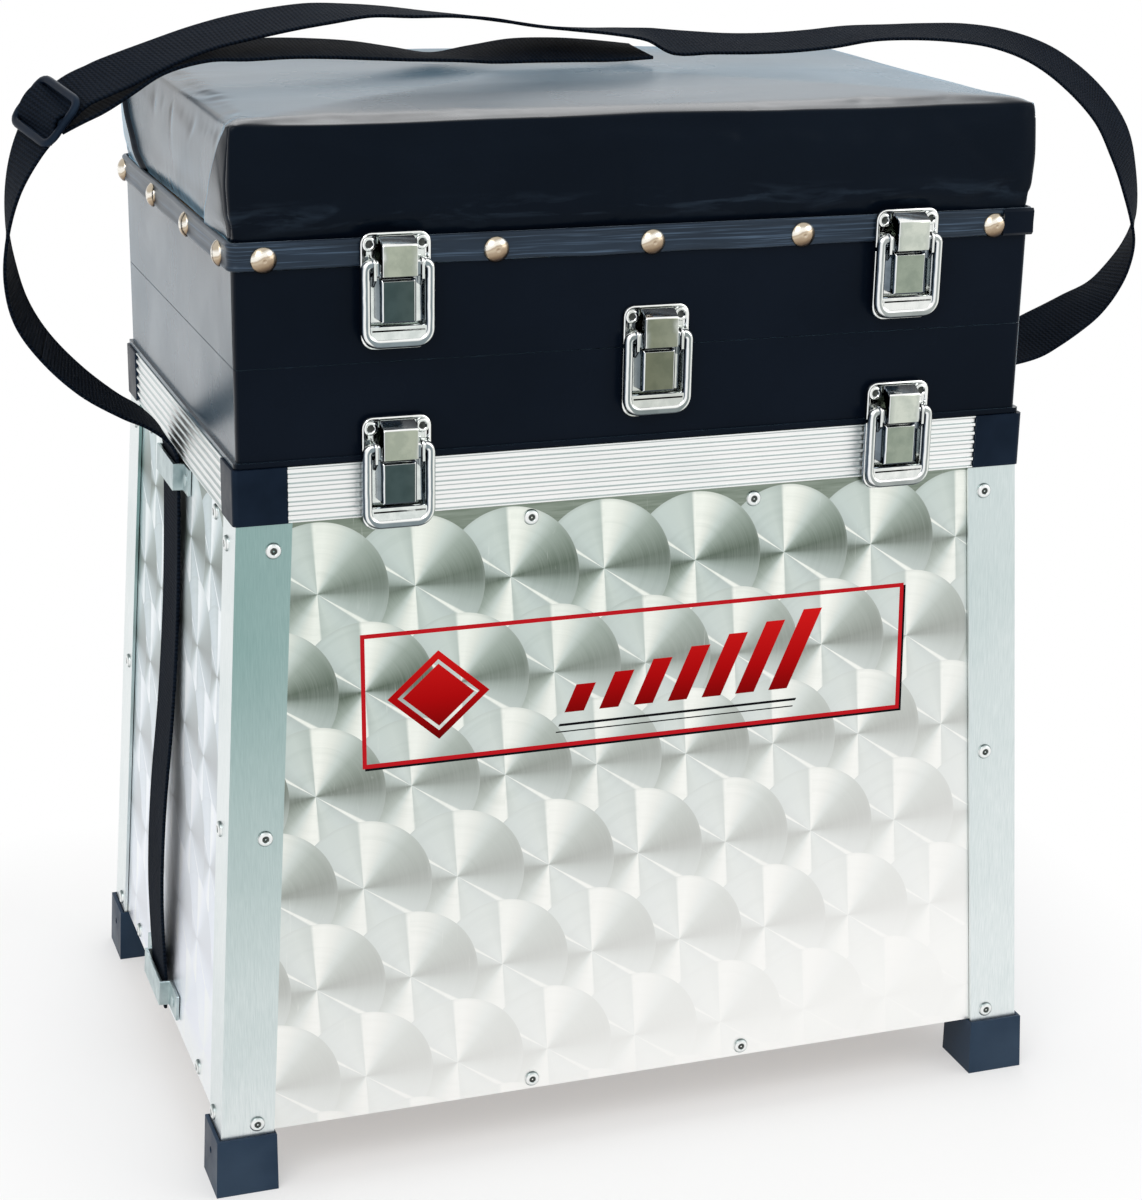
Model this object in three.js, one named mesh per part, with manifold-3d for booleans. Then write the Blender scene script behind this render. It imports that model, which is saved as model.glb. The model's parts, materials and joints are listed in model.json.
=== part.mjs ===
// A fishing seat box: a riveted aluminium box with two hinged trays, a padded lid, five draw latches
// and a webbing shoulder strap. Millimetres, +Z up, the front faces -Y, and the origin lies on the
// floor under the middle of the box.
import * as THREE from "three";
import { mergeVertices } from "three/addons/utils/BufferGeometryUtils.js";
import Module from "manifold-3d";

const wasm = await Module();
wasm.setup();

// Clearances
const gap = 0.3; // between pieces that touch
const overrun = 2; // how far a cut runs past the face that it opens

// Whole object
const trayWidth = 374;
const trayDepth = 250;
const footHeight = 28;
const bodyHeight = 289;
const railHeight = 25;
const lowerTrayHeight = 43;
const upperTrayHeight = 42;
const bandHeight = 12.4;
const cushionRise = 53;
const sideSplay = 16.6; // how much further out the foot of a side stands than its top
const frontSplay = 12.6;

// Aluminium body
const panelThickness = 4;
const panelFootGap = 0.6;
const postFlange = 25;
const postWall = 1.6;
const floorThickness = 5;
const floorLift = 3;

// Rail round the top of the body
const railOverhang = 2.2;
const railThickness = 2.4;
const railLedge = 16;
const railLedgeThickness = 1.6;
const fluteCount = 6;
const fluteDepth = 0.9;
const fluteWidth = 2.9;
const fluteFloor = 1.7;

// Plastic corner caps and feet
const capLeg = 24;
const capProud = 0.5;
const capRadius = 2.5;
const footSize = 28;
const footProud = 2.2;
const footFlare = 1.2;
const socketDepth = 14;
const socketClearance = 0.4;
const footHoleRadius = 1.7;
const footHoleDepth = 1.4;
const footHoleHeight = 17;

// Rivets of the body
const rivetRadius = 2.7;
const rivetRise = 1.1;
const rivetInset = 16.8;
const rivetEndInset = 12;
const panelRivetX = 54;
const panelRivetY = 78;
const panelRivetTop = 7;
const panelRivetFoot = 5;

// Trays
const trayWall = 6;
const trayFloor = 4;
const trayRadius = 3;
const lipHeight = 2.2;
const lipProud = 1.5;

// Lid
const boardThickness = 8;
const bandThickness = 1.8;
const nailRadius = 5.4;
const nailRise = 2.6;
const nailShareOfBand = 0.4;
const frontNailShares = [-0.9, -0.385, 0, 0.385, 0.93];
const sideNailShares = [-0.85, -0.29, 0.35, 0.97];

// Padded cushion
const cushionRadius = 7;
const cushionCrown = 3.5;
const cushionPull = 2.2;
const cushionSlack = 0.9;
const cushionBulge = 1.3;
const cushionShoulder = 8;

// Piano hinges across the back
const hingeEndInset = 26; // from the corner of a tray to the end of its hinge
const knuckleRadius = 3;
const hingePinRadius = 1.1;
const hingeClearance = 0.25;
const leafThickness = 1.2;
const leafHeight = 13;
const lidLeafHeight = 8;
const knuckleCount = 7;

// Draw latches: sizes from the slit between the claw and the cover, outwards along Y
const sideLatchShare = 0.642; // of half the tray's width
const latchShift = 2.7; // of all the latches, to the right of the middle
const upperLatchDrop = -3;
const middleLatchDrop = 1;
const lowerLatchDrop = 2;
const latchWidth = 31.2;
const latchSheet = 1.2;
const latchCorner = 5;
const strikeFoot = 0.5;
const strikeTop = 18;
const strikeHeadX = 11.6;
const strikeHeadDrop = 5;
const strikeHeadRadius = 3.1;
const strikeHeadRise = 1.3;
const strikePadFoot = 3.2;
const shelfHeight = 10.2;
const shelfThickness = 1;
const lipFace = 6.2;
const lipThickness = 1.2;
const lipTop = 13.2;
const lipHalfWidth = 5.6;
const baseTop = -0.9;
const baseFoot = -32.6;
const baseRimWidth = 1.3;
const baseRimRise = 1.1;
const coverHalfWidth = 7.75;
const coverTop = -1.6;
const coverFoot = -20.4;
const coverFace = 6.8;
const coverBevel = 0.8;
const earFace = 9.95;
const earThickness = 1.2;
const earRadius = 2.7;
const earFoot = -15;
const pivotOut = 5;
const pivotRise = 5;
const axleRadius = 1.2;
const pinRadius = 1;
const pinClearance = 0.3;
const crankThrow = 4;
const crankFace = 8.1;
const crankThickness = 1.5;
const crankRadius = 1.7;
const ringHalfWidth = 14.2;
const ringFoot = -29.2;
const ringRadius = 1.9;
const ringTopCorner = 2.4;
const ringFootCorner = 6;
const pullTop = -22.4;
const pullThickness = 2.2;
const clawFace = 9.2;
const clawSheet = 1.2;
const clawFoot = -0.1;
const clawBrow = 13.4;
const clawCrest = 16.6;
const clawTipOut = 1.9;
const clawTipFoot = 12.6;
const clawTipThickness = 1;
const clawCheekTop = 9;
const clawCheekThickness = 1.1;
const clawLugRadius = 2.1;

// Webbing strap and its fittings
const webWidth = 35;
const webThickness = 1.6;
const strapY = 8;
const fittingWidth = 13;
const fittingThickness = 1.5;
const fittingRoom = 5;
const fittingSlack = 1.2;
const guideTab = 11;
const anchorTab = 18;
const guideDrop = 9;
const anchorLift = 12;
const tabRivetRadius = 3.2;
const sliderLength = 27;
const sliderBar = 4.2;
const sliderRim = 3.6;
const sliderThickness = 3.2;

// Facets of the round forms
const cornerSteps = 4;
const trayCornerSteps = 3;
const headSides = 8;
const rodSides = 8;
const knuckleSides = 8;
const ringSides = 6;
const bendSteps = 3;
const lugSteps = 4;
const sideSteps = 11;
const strapStepsPerPoint = 2;

// Levels and outlines that follow from the sizes above
const railFoot = footHeight + bodyHeight;
const bodyTop = railFoot + railHeight;
const middleSeam = bodyTop + lowerTrayHeight;
const lidSeam = middleSeam + upperTrayHeight;
const bandTop = lidSeam + bandHeight;
const cushionTop = bandTop + cushionRise;
const halfWidth = trayWidth / 2;
const halfDepth = trayDepth / 2;
const railX = halfWidth + railOverhang;
const railY = halfDepth + railOverhang;
const panelTopX = railX - railThickness - gap;
const panelTopY = railY - railThickness - gap;
const hingeY = railY + gap + knuckleRadius;
const hingeHalf = halfWidth - hingeEndInset;
const latchX = halfWidth * sideLatchShare;
const boardTop = lidSeam + gap + boardThickness;

// Outer face of the panels at height z: the sides stand out towards the foot.
const panelX = (z) => panelTopX + (sideSplay * (railFoot - z)) / bodyHeight;
const panelY = (z) => panelTopY + (frontSplay * (railFoot - z)) / bodyHeight;
const postX = (z) => panelX(z) + gap + postWall;
const postY = (z) => panelY(z) + gap + postWall;
const sideLean = Math.atan2(sideSplay, bodyHeight);

// Materials
const finish = (color, roughness, metalness) =>
  new THREE.MeshStandardMaterial({ color, roughness, metalness });
const turnedAluminium = finish(0xd4d6d6, 0.3, 1);
const plainAluminium = finish(0xc6c9ca, 0.4, 1);
const boardWood = finish(0x8a6f4d, 0.8, 0);
const blackPlastic = finish(0x17191e, 0.5, 0);
const blackVinyl = finish(0x10131a, 0.35, 0);
const chrome = finish(0xd8dbd8, 0.12, 1);
const zinc = finish(0xb4bcbf, 0.4, 1);
const webbing = finish(0x121317, 0.9, 0);

// Solid modelling
function solid(geometry) {
  const bare = geometry.clone();
  bare.deleteAttribute("normal");
  bare.deleteAttribute("uv");
  const merged = mergeVertices(bare.index ? bare.toNonIndexed() : bare, 1e-4);
  const vertProperties = merged.attributes.position.array;
  const triVerts = new Uint32Array(merged.index.array);
  return new wasm.Manifold(new wasm.Mesh({ numProp: 3, vertProperties, triVerts }));
}

const join = (...parts) => parts.reduce((whole, part) => whole.add(part));

const cut = (whole, ...tools) => tools.reduce((rest, tool) => rest.subtract(tool), whole);

function moved(part, matrix) {
  return part.transform(matrix.elements);
}

const shift = (x, y, z) => new THREE.Matrix4().makeTranslation(x, y, z);

function node(name, part, material) {
  const { vertProperties, triVerts, numProp, numVert } = part.getMesh();
  const points = new Float32Array(numVert * 3);
  for (let i = 0; i < numVert; i++) {
    points.set(vertProperties.subarray(i * numProp, i * numProp + 3), i * 3);
  }
  const geometry = new THREE.BufferGeometry();
  geometry.setAttribute("position", new THREE.BufferAttribute(points, 3));
  geometry.setIndex(new THREE.BufferAttribute(triVerts, 1));
  geometry.computeVertexNormals();
  const mesh = new THREE.Mesh(geometry, material);
  mesh.name = name;
  return mesh;
}

// A solid between two level rectangles, each given as [x0, x1, y0, y1].
function slab(z0, low, z1, high) {
  const ring = ([x0, x1, y0, y1], z) => [
    [Math.min(x0, x1), Math.min(y0, y1), z],
    [Math.max(x0, x1), Math.min(y0, y1), z],
    [Math.max(x0, x1), Math.max(y0, y1), z],
    [Math.min(x0, x1), Math.max(y0, y1), z],
  ];
  return skin([ring(low, z0), ring(high, z1)]);
}

function block(x0, x1, y0, y1, z0, z1) {
  const plan = [x0, x1, y0, y1];
  return slab(Math.min(z0, z1), plan, Math.max(z0, z1), plan);
}

// A closed skin over a stack of rings with the same number of points, anticlockwise seen from the end.
function skin(rings) {
  const count = rings[0].length;
  const middle = (ring) => [0, 1, 2].map((k) => ring.reduce((sum, p) => sum + p[k], 0) / count);
  const points = [...rings.flat(), middle(rings[0]), middle(rings.at(-1))];
  const first = rings.length * count;
  const last = first + 1;
  const triangles = [];
  for (let j = 0; j < count; j++) {
    const next = (j + 1) % count;
    triangles.push(first, next, j);
    for (let i = 0; i + 1 < rings.length; i++) {
      const [a, b] = [i * count + j, i * count + next];
      triangles.push(a, b, b + count, a, b + count, a + count);
    }
    const top = (rings.length - 1) * count;
    triangles.push(last, top + j, top + next);
  }
  const geometry = new THREE.BufferGeometry();
  geometry.setAttribute("position", new THREE.Float32BufferAttribute(points.flat(), 3));
  geometry.setIndex(triangles);
  return solid(geometry);
}

function outline(points) {
  return new THREE.Shape(points.map(([x, y]) => new THREE.Vector2(x, y)));
}

function roundedRectangle(x0, x1, y0, y1, radii) {
  const [footLeft, footRight, topRight, topLeft] = radii;
  const shape = new THREE.Shape();
  shape.moveTo(x0 + footLeft, y0);
  shape.lineTo(x1 - footRight, y0);
  if (footRight) shape.absarc(x1 - footRight, y0 + footRight, footRight, -Math.PI / 2, 0);
  shape.lineTo(x1, y1 - topRight);
  if (topRight) shape.absarc(x1 - topRight, y1 - topRight, topRight, 0, Math.PI / 2);
  shape.lineTo(x0 + topLeft, y1);
  if (topLeft) shape.absarc(x0 + topLeft, y1 - topLeft, topLeft, Math.PI / 2, Math.PI);
  shape.lineTo(x0, y0 + footLeft);
  if (footLeft) shape.absarc(x0 + footLeft, y0 + footLeft, footLeft, Math.PI, 1.5 * Math.PI);
  return shape;
}

function extruded(shape, depth, curveSegments = cornerSteps) {
  return solid(new THREE.ExtrudeGeometry(shape, { depth, bevelEnabled: false, curveSegments }));
}

// Extrusions of an outline in X and Y upwards, in Y and Z along X, and in X and Z along Y.
function upright(shape, z0, z1, segments) {
  return moved(extruded(shape, z1 - z0, segments), shift(0, 0, z0));
}

function alongX(shape, x0, x1, segments) {
  const turn = new THREE.Matrix4().set(0, 0, 1, x0, 1, 0, 0, 0, 0, 1, 0, 0, 0, 0, 0, 1);
  return moved(extruded(shape, x1 - x0, segments), turn);
}

function alongY(shape, y0, y1, segments) {
  const turn = new THREE.Matrix4().set(1, 0, 0, 0, 0, 0, -1, y1, 0, 1, 0, 0, 0, 0, 0, 1);
  return moved(extruded(shape, y1 - y0, segments), turn);
}

// A rod along X between x0 and x1.
function rod(radius, x0, x1, y, z, sides = rodSides) {
  const length = x1 - x0;
  const cylinder = new THREE.CylinderGeometry(radius, radius, length, sides);
  cylinder.rotateZ(Math.PI / 2);
  cylinder.translate((x0 + x1) / 2, y, z);
  return solid(cylinder);
}

// A domed head that points along +Y, sunk a little into the face at Y = 0 that carries it.
function head(radius, rise, sink) {
  const shoulderShare = 0.55;
  const crownShare = 0.62;
  const profile = [
    new THREE.Vector2(0, -sink),
    new THREE.Vector2(radius, -sink),
    new THREE.Vector2(radius, rise * (1 - shoulderShare)),
    new THREE.Vector2(radius * crownShare, rise * (1 - shoulderShare * (1 - crownShare))),
    new THREE.Vector2(0, rise),
  ];
  return solid(new THREE.LatheGeometry(profile, headSides));
}

// A section swept along a route of [x, y, z] points that turns only in X and Z. The section's points
// are [across, along Y], and across is the route's own left.
function sweep(route, section) {
  const rings = route.map(([x, y, z], i) => {
    const [ax, , az] = route[Math.max(i - 1, 0)];
    const [bx, , bz] = route[Math.min(i + 1, route.length - 1)];
    const run = Math.hypot(bx - ax, bz - az);
    const [tx, tz] = [(bx - ax) / run, (bz - az) / run];
    return section.map(([across, side]) => [x - tz * across, y + side, z + tx * across]);
  });
  return skin(rings);
}

const disc = (radius, sides) =>
  Array.from({ length: sides }, (_, i) => {
    const angle = (2 * Math.PI * i) / sides;
    return [radius * Math.cos(angle), -radius * Math.sin(angle)];
  });

// Points on an arc round a centre in X and Z.
const arc = (cx, cz, radius, from, to, steps) =>
  Array.from({ length: steps + 1 }, (_, i) => {
    const angle = from + ((to - from) * i) / steps;
    return [cx + radius * Math.cos(angle), cz + radius * Math.sin(angle)];
  });

const model = new THREE.Group();

// Floor and the four walls of the body. The front and back walls cover the ends of the side walls.
const wallFoot = footHeight + panelFootGap;
const wallTop = bodyTop - railLedgeThickness - gap;

function rivetsOn(wall, places, face, turn) {
  return places.reduce((whole, [across, z]) => {
    const place = new THREE.Matrix4()
      .makeRotationZ(turn)
      .multiply(shift(across, face(z), z));
    return whole.add(moved(head(rivetRadius, rivetRise, rivetRise), place));
  }, wall);
}

function wall(name, sign, alongFront) {
  const rows = [wallFoot, wallTop].map((z) => {
    const outerX = panelX(z);
    const outerY = panelY(z);
    const innerY = outerY - panelThickness - gap;
    return alongFront
      ? [-outerX, outerX, sign * (outerY - panelThickness), sign * outerY]
      : [sign * (outerX - panelThickness), sign * outerX, -innerY, innerY];
  });
  const sheet = slab(wallFoot, rows[0], wallTop, rows[1]);
  const turn = alongFront ? (sign > 0 ? 0 : Math.PI) : (-sign * Math.PI) / 2;
  const across = alongFront ? panelRivetX : panelRivetY;
  const places = [-across, across].flatMap((x) => [
    [x, wallFoot + panelRivetFoot],
    [x, railFoot - panelRivetTop],
  ]);
  return node(name, rivetsOn(sheet, places, alongFront ? panelY : panelX, turn), turnedAluminium);
}

model.add(wall("front_panel", -1, true), wall("back_panel", 1, true));
model.add(wall("left_panel", -1, false), wall("right_panel", 1, false));

function floorPanel() {
  const z0 = wallFoot + floorLift;
  const z1 = z0 + floorThickness;
  const row = (z) => {
    const x = panelX(z) - panelThickness - gap;
    const y = panelY(z) - panelThickness - gap;
    return [-x, x, -y, y];
  };
  return node("floor_panel", slab(z0, row(z0), z1, row(z1)), boardWood);
}
model.add(floorPanel());

// Corner posts, feet and caps, one set for each corner of the body.
const corners = [
  ["front_left", -1, -1],
  ["front_right", 1, -1],
  ["back_left", -1, 1],
  ["back_right", 1, 1],
];

function postLegs(z0, z1, grow) {
  const row = (z, legX, legY) => {
    const [x, y] = [postX(z) + grow, postY(z) + grow];
    return [x - legX - 2 * grow, x, y - legY - 2 * grow, y];
  };
  const leg = (x, y) => slab(z0, row(z0, x, y), z1, row(z1, x, y));
  return join(leg(postFlange, postWall), leg(postWall, postFlange));
}

const mirrored = (part, sx, sy) => moved(part, new THREE.Matrix4().makeScale(sx, sy, 1));

function cornerPost() {
  const legs = postLegs(footHeight - socketDepth, railFoot - gap, 0);
  const heights = [wallFoot + panelRivetFoot, (wallFoot + railFoot) / 2, railFoot - rivetEndInset];
  return heights.reduce((whole, z) => {
    const onFront = shift(postX(z) - rivetInset, postY(z), z);
    const quarter = new THREE.Matrix4().makeRotationZ(-Math.PI / 2);
    const onSide = quarter.multiply(shift(rivetInset - postY(z), postX(z), z));
    const button = head(rivetRadius, rivetRise, postWall / 2);
    return join(whole, moved(button, onFront), moved(button, onSide));
  }, legs);
}

function cornerFoot() {
  const row = (z, flare) => {
    const x = postX(z) + footProud + flare;
    const y = postY(z) + footProud + flare;
    return [x - footSize - flare, x, y - footSize - flare, y];
  };
  const body = slab(0, row(footHeight, footFlare), footHeight, row(footHeight, 0));
  const socketFloor = footHeight - socketDepth - gap;
  const socket = postLegs(socketFloor, footHeight + overrun, socketClearance);
  const faceX = postX(footHeight) + footProud + footFlare;
  const middleY = postY(footHeight) + footProud - footSize / 2;
  const screwHole = rod(footHoleRadius, faceX - footHoleDepth, faceX + overrun, middleY, footHoleHeight);
  return cut(body, socket, screwHole);
}

function cornerCap() {
  const outerX = railX + capProud;
  const outerY = railY + capProud;
  const inner = (size) => size - railThickness;
  const radii = [0, 0, capRadius, 0];
  const plan = roundedRectangle(outerX - capLeg, outerX, outerY - capLeg, outerY, radii);
  const pastX = outerX - capLeg - overrun;
  const pastY = outerY - capLeg - overrun;
  const ledgeTop = bodyTop - railLedgeThickness;
  return cut(
    upright(plan, railFoot, bodyTop),
    block(pastX, inner(railX), pastY, inner(railY), railFoot - overrun, ledgeTop),
    block(pastX, railX - railLedge, pastY, railY - railLedge, railFoot, bodyTop + overrun),
  );
}

for (const [corner, sx, sy] of corners) {
  model.add(node(`corner_post_${corner}`, mirrored(cornerPost(), sx, sy), plainAluminium));
  model.add(node(`foot_${corner}`, mirrored(cornerFoot(), sx, sy), blackPlastic));
  model.add(node(`corner_cap_${corner}`, mirrored(cornerCap(), sx, sy), blackPlastic));
}

// Fluted rail between the caps: an upright web with a ledge over the top of the wall.
function rail(halfLength, face) {
  const web = face - railThickness;
  const pitch = railHeight / fluteCount;
  const flutes = Array.from({ length: fluteCount }, (_, i) => {
    const middle = railFoot + pitch * (i + 0.5);
    return [
      [face, middle - fluteWidth / 2],
      [face - fluteDepth, middle - fluteFloor / 2],
      [face - fluteDepth, middle + fluteFloor / 2],
      [face, middle + fluteWidth / 2],
    ];
  });
  const profile = outline([
    [web, railFoot],
    [face, railFoot],
    ...flutes.flat(),
    [face, bodyTop],
    [face - railLedge, bodyTop],
    [face - railLedge, bodyTop - railLedgeThickness],
    [web, bodyTop - railLedgeThickness],
  ]);
  return alongX(profile, -halfLength, halfLength);
}

const railSides = [
  ["front", railX, railY, Math.PI],
  ["back", railX, railY, 0],
  ["left", railY, railX, Math.PI / 2],
  ["right", railY, railX, -Math.PI / 2],
];
for (const [side, reach, face, turn] of railSides) {
  const piece = node(`rail_${side}`, rail(reach + capProud - capLeg - gap, face), plainAluminium);
  piece.rotation.z = turn;
  model.add(piece);
}

// Two stacking trays. The lower one has a thin lip over the rail, except at the hinge.
const roundPlan = (x, y, radius) => roundedRectangle(-x, x, -y, y, Array(4).fill(radius));

function tray(z0, z1, withLip) {
  const plan = roundPlan(halfWidth, halfDepth, trayRadius);
  const shell = upright(plan, z0, z1, trayCornerSteps);
  const x = halfWidth - trayWall;
  const y = halfDepth - trayWall;
  const hollow = block(-x, x, -y, y, z0 + trayFloor, z1 + overrun);
  if (!withLip) return cut(shell, hollow);
  const reach = halfWidth + lipProud;
  const radii = [trayRadius, trayRadius, 0, 0];
  const lip = roundedRectangle(-reach, reach, -halfDepth - lipProud, halfDepth, radii);
  return cut(join(shell, upright(lip, z0, z0 + lipHeight, trayCornerSteps)), hollow);
}

model.add(node("lower_tray", tray(bodyTop + gap, middleSeam, true), blackVinyl));
model.add(node("upper_tray", tray(middleSeam + gap, lidSeam, false), blackVinyl));

// Lid: a board, the band nailed round its edge and the cushion on top.
function lidBoard() {
  const plan = roundPlan(halfWidth, halfDepth, trayRadius);
  return upright(plan, lidSeam + gap, boardTop, trayCornerSteps);
}

function trimBand() {
  const ring = (grow) => roundPlan(halfWidth + grow, halfDepth + grow, trayRadius + grow);
  const foot = lidSeam + gap;
  const strip = cut(
    upright(ring(bandThickness), foot, bandTop, trayCornerSteps),
    upright(ring(gap), foot - overrun, bandTop + overrun, trayCornerSteps),
  );
  const nailZ = lidSeam + bandHeight * nailShareOfBand;
  const backNailX = (halfWidth + hingeHalf) / 2;
  const nail = (share, reach, face, turn) => {
    const frame = new THREE.Matrix4().makeRotationZ(turn).multiply(shift(share * reach, face, nailZ));
    return moved(head(nailRadius, nailRise, bandThickness / 2), frame);
  };
  const nails = [
    ...frontNailShares.map((s) => nail(-s, halfWidth, halfDepth + bandThickness, Math.PI)),
    ...[-1, 1].map((side) => nail(side, backNailX, halfDepth + bandThickness, 0)),
    ...sideNailShares.map((s) => nail(s, halfDepth, halfWidth + bandThickness, Math.PI / 2)),
    ...sideNailShares.map((s) => nail(-s, halfDepth, halfWidth + bandThickness, -Math.PI / 2)),
  ];
  return join(strip, ...nails);
}

// One level ring of the cushion: a rounded rectangle whose sides are drawn in between its corners.
function cushionRing(inset, z, scale) {
  const [a, b, r] = [halfWidth - inset, halfDepth - inset, cushionRadius];
  const ring = [];
  for (let quarter = 0; quarter < 4; quarter++) {
    const sx = quarter === 0 || quarter === 3 ? 1 : -1;
    const sy = quarter < 2 ? 1 : -1;
    const turn = (quarter * Math.PI) / 2;
    ring.push(...arc(sx * (a - r), sy * (b - r), r, turn, turn + Math.PI / 2, cornerSteps));
    for (let i = 1; i < sideSteps; i++) {
      const pull = cushionPull * Math.sin((Math.PI * i) / sideSteps);
      const along = 1 - (2 * i) / sideSteps;
      const onLevelSide = quarter % 2 === 0;
      const x = onLevelSide ? sx * along * (a - r) : sx * (a - pull);
      const y = onLevelSide ? sy * (b - pull) : sy * along * (b - r);
      ring.push([x, y]);
    }
  }
  return ring.map(([x, y]) => [x * scale, y * scale, z]);
}

// The cushion's section, as shares: how high up its side each ring lies, and how far out or in.
const slackShares = [
  [0, 1],
  [0.1, 1],
];
const bulgeShares = [
  [0.24, 0.7],
  [0.6, 1],
  [0.84, 0.3],
];
const shoulderShares = [
  [0.95, 0.3],
  [1, 1],
];
const crownShares = [0.8, 0.55, 0.3, 0.1];

function cushion() {
  const z0 = boardTop + gap;
  const rise = cushionTop - cushionCrown - z0;
  const rings = (shares, inset) =>
    shares.map(([up, into]) => cushionRing(inset * into, z0 + rise * up, 1));
  const crown = crownShares.map((share) =>
    cushionRing(cushionShoulder, z0 + rise + cushionCrown * (1 - share * share), share),
  );
  return skin([
    ...rings(slackShares, cushionSlack),
    ...rings(bulgeShares, -cushionBulge),
    ...rings(shoulderShares, cushionShoulder),
    ...crown,
  ]);
}

model.add(node("lid_board", lidBoard(), boardWood));
model.add(node("trim_band", trimBand(), blackVinyl));
model.add(node("cushion", cushion(), blackVinyl));

// Piano hinges: the lower leaf carries the pin and every other knuckle, the upper leaf the rest.
function hingeLeaf(seam, plateFace, height, upper) {
  const up = upper ? 1 : -1;
  const half = hingeHalf;
  const pitch = (2 * half) / knuckleCount;
  const near = seam + up * (knuckleRadius - leafThickness);
  const far = seam + up * (knuckleRadius + height);
  const plate = block(-half, half, plateFace + gap, plateFace + gap + leafThickness, near, far);
  const edge = seam + up * knuckleRadius;
  const bridge = (x0, x1) => block(x0, x1, plateFace + gap, hingeY, near, edge);
  const barrel = (radius, x0, x1) => rod(radius, x0, x1, hingeY, seam, knuckleSides);
  let leaf = cut(plate, barrel(knuckleRadius + gap, -half - overrun, half + overrun));
  for (let i = 0; i < knuckleCount; i++) {
    if ((i % 2 === 1) !== upper) continue;
    const x0 = -half + i * pitch + gap;
    const x1 = -half + (i + 1) * pitch - gap;
    leaf = join(leaf, bridge(x0, x1), barrel(knuckleRadius, x0, x1));
  }
  if (upper) {
    return cut(leaf, barrel(hingePinRadius + hingeClearance, -half - overrun, half + overrun));
  }
  return join(leaf, barrel(hingePinRadius, -half + gap, half - gap));
}

const hinges = [
  ["box_hinge_leaf", bodyTop, railY, leafHeight, false],
  ["lower_tray_bottom_leaf", bodyTop, halfDepth, leafHeight, true],
  ["lower_tray_top_leaf", middleSeam, halfDepth, leafHeight, false],
  ["upper_tray_bottom_leaf", middleSeam, halfDepth, leafHeight, true],
  ["upper_tray_top_leaf", lidSeam, halfDepth, leafHeight, false],
  ["lid_hinge_leaf", lidSeam, halfDepth + bandThickness, lidLeafHeight, true],
];
for (const [name, ...sizes] of hinges) {
  model.add(node(name, hingeLeaf(...sizes), chrome));
}

// Draw latches, built with their back on Y = 0, facing +Y, and Z = 0 at the slit.
const latchHalf = latchWidth / 2;
const pinRise = pivotRise - crankThrow;

function strike(pad) {
  const radii = [0, 0, latchCorner, latchCorner];
  const plan = roundedRectangle(-latchHalf, latchHalf, strikeFoot, strikeTop, radii);
  const hook = outline([
    [0, shelfHeight],
    [lipFace + lipThickness, shelfHeight],
    [lipFace + lipThickness, lipTop],
    [lipFace, lipTop],
    [lipFace, shelfHeight + shelfThickness],
    [0, shelfHeight + shelfThickness],
  ]);
  const headZ = strikeTop - strikeHeadDrop;
  const button = head(strikeHeadRadius, strikeHeadRise, latchSheet / 2);
  const parts = [
    alongY(plan, 0, latchSheet),
    alongX(hook, -lipHalfWidth, lipHalfWidth),
    ...[-strikeHeadX, strikeHeadX].map((x) => moved(button, shift(x, latchSheet, headZ))),
  ];
  if (pad > gap) {
    parts.push(block(-latchHalf, latchHalf, gap - pad, latchSheet, strikePadFoot, shelfHeight));
  }
  return join(...parts);
}

function latchBase(pad) {
  const plan = (inset) => {
    const corner = ringFootCorner - inset;
    const [x, foot] = [latchHalf - inset, baseFoot + inset];
    return roundedRectangle(-x, x, foot, baseTop, [corner, corner, 0, 0]);
  };
  const past = latchSheet + baseRimRise + overrun;
  const rimmedPlate = cut(
    alongY(plan(0), 0, latchSheet + baseRimRise),
    alongY(plan(baseRimWidth), latchSheet, past),
    block(-latchHalf, latchHalf, latchSheet, past, pullTop, overrun),
  );
  const rise = coverFace - coverBevel;
  const coverShape = roundedRectangle(
    coverBevel - coverHalfWidth,
    coverHalfWidth - coverBevel,
    coverFoot + coverBevel,
    coverTop - coverBevel,
    [coverBevel, coverBevel, 0, 0],
  );
  const coverBody = new THREE.ExtrudeGeometry(coverShape, {
    depth: rise,
    curveSegments: 2,
    bevelThickness: coverBevel,
    bevelSize: coverBevel,
    bevelSegments: 1,
  });
  coverBody.rotateX(Math.PI / 2);
  coverBody.rotateZ(Math.PI);
  const cover = cut(solid(coverBody), block(-latchHalf, latchHalf, -rise, 0, coverFoot, coverTop));
  const earShape = outline([
    [latchSheet / 2, earFoot],
    [pivotOut, earFoot],
    [pivotOut + earRadius, earFoot + earRadius],
    ...arc(pivotOut, pivotRise, earRadius, 0, Math.PI, 2 * bendSteps),
    [pivotOut - earRadius, strikeFoot],
    [latchSheet / 2, baseTop],
  ]);
  const bore = axleRadius + pinClearance;
  const ears = [-earFace - earThickness, earFace].map((x) => {
    const hole = rod(bore, x - overrun, x + earThickness + overrun, pivotOut, pivotRise);
    return cut(alongX(earShape, x, x + earThickness), hole);
  });
  const parts = [rimmedPlate, cover, ...ears];
  if (pad > gap) {
    parts.push(block(-latchHalf, latchHalf, gap - pad, latchSheet, baseFoot / 2, baseTop - strikePadFoot));
  }
  return join(...parts);
}

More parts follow.
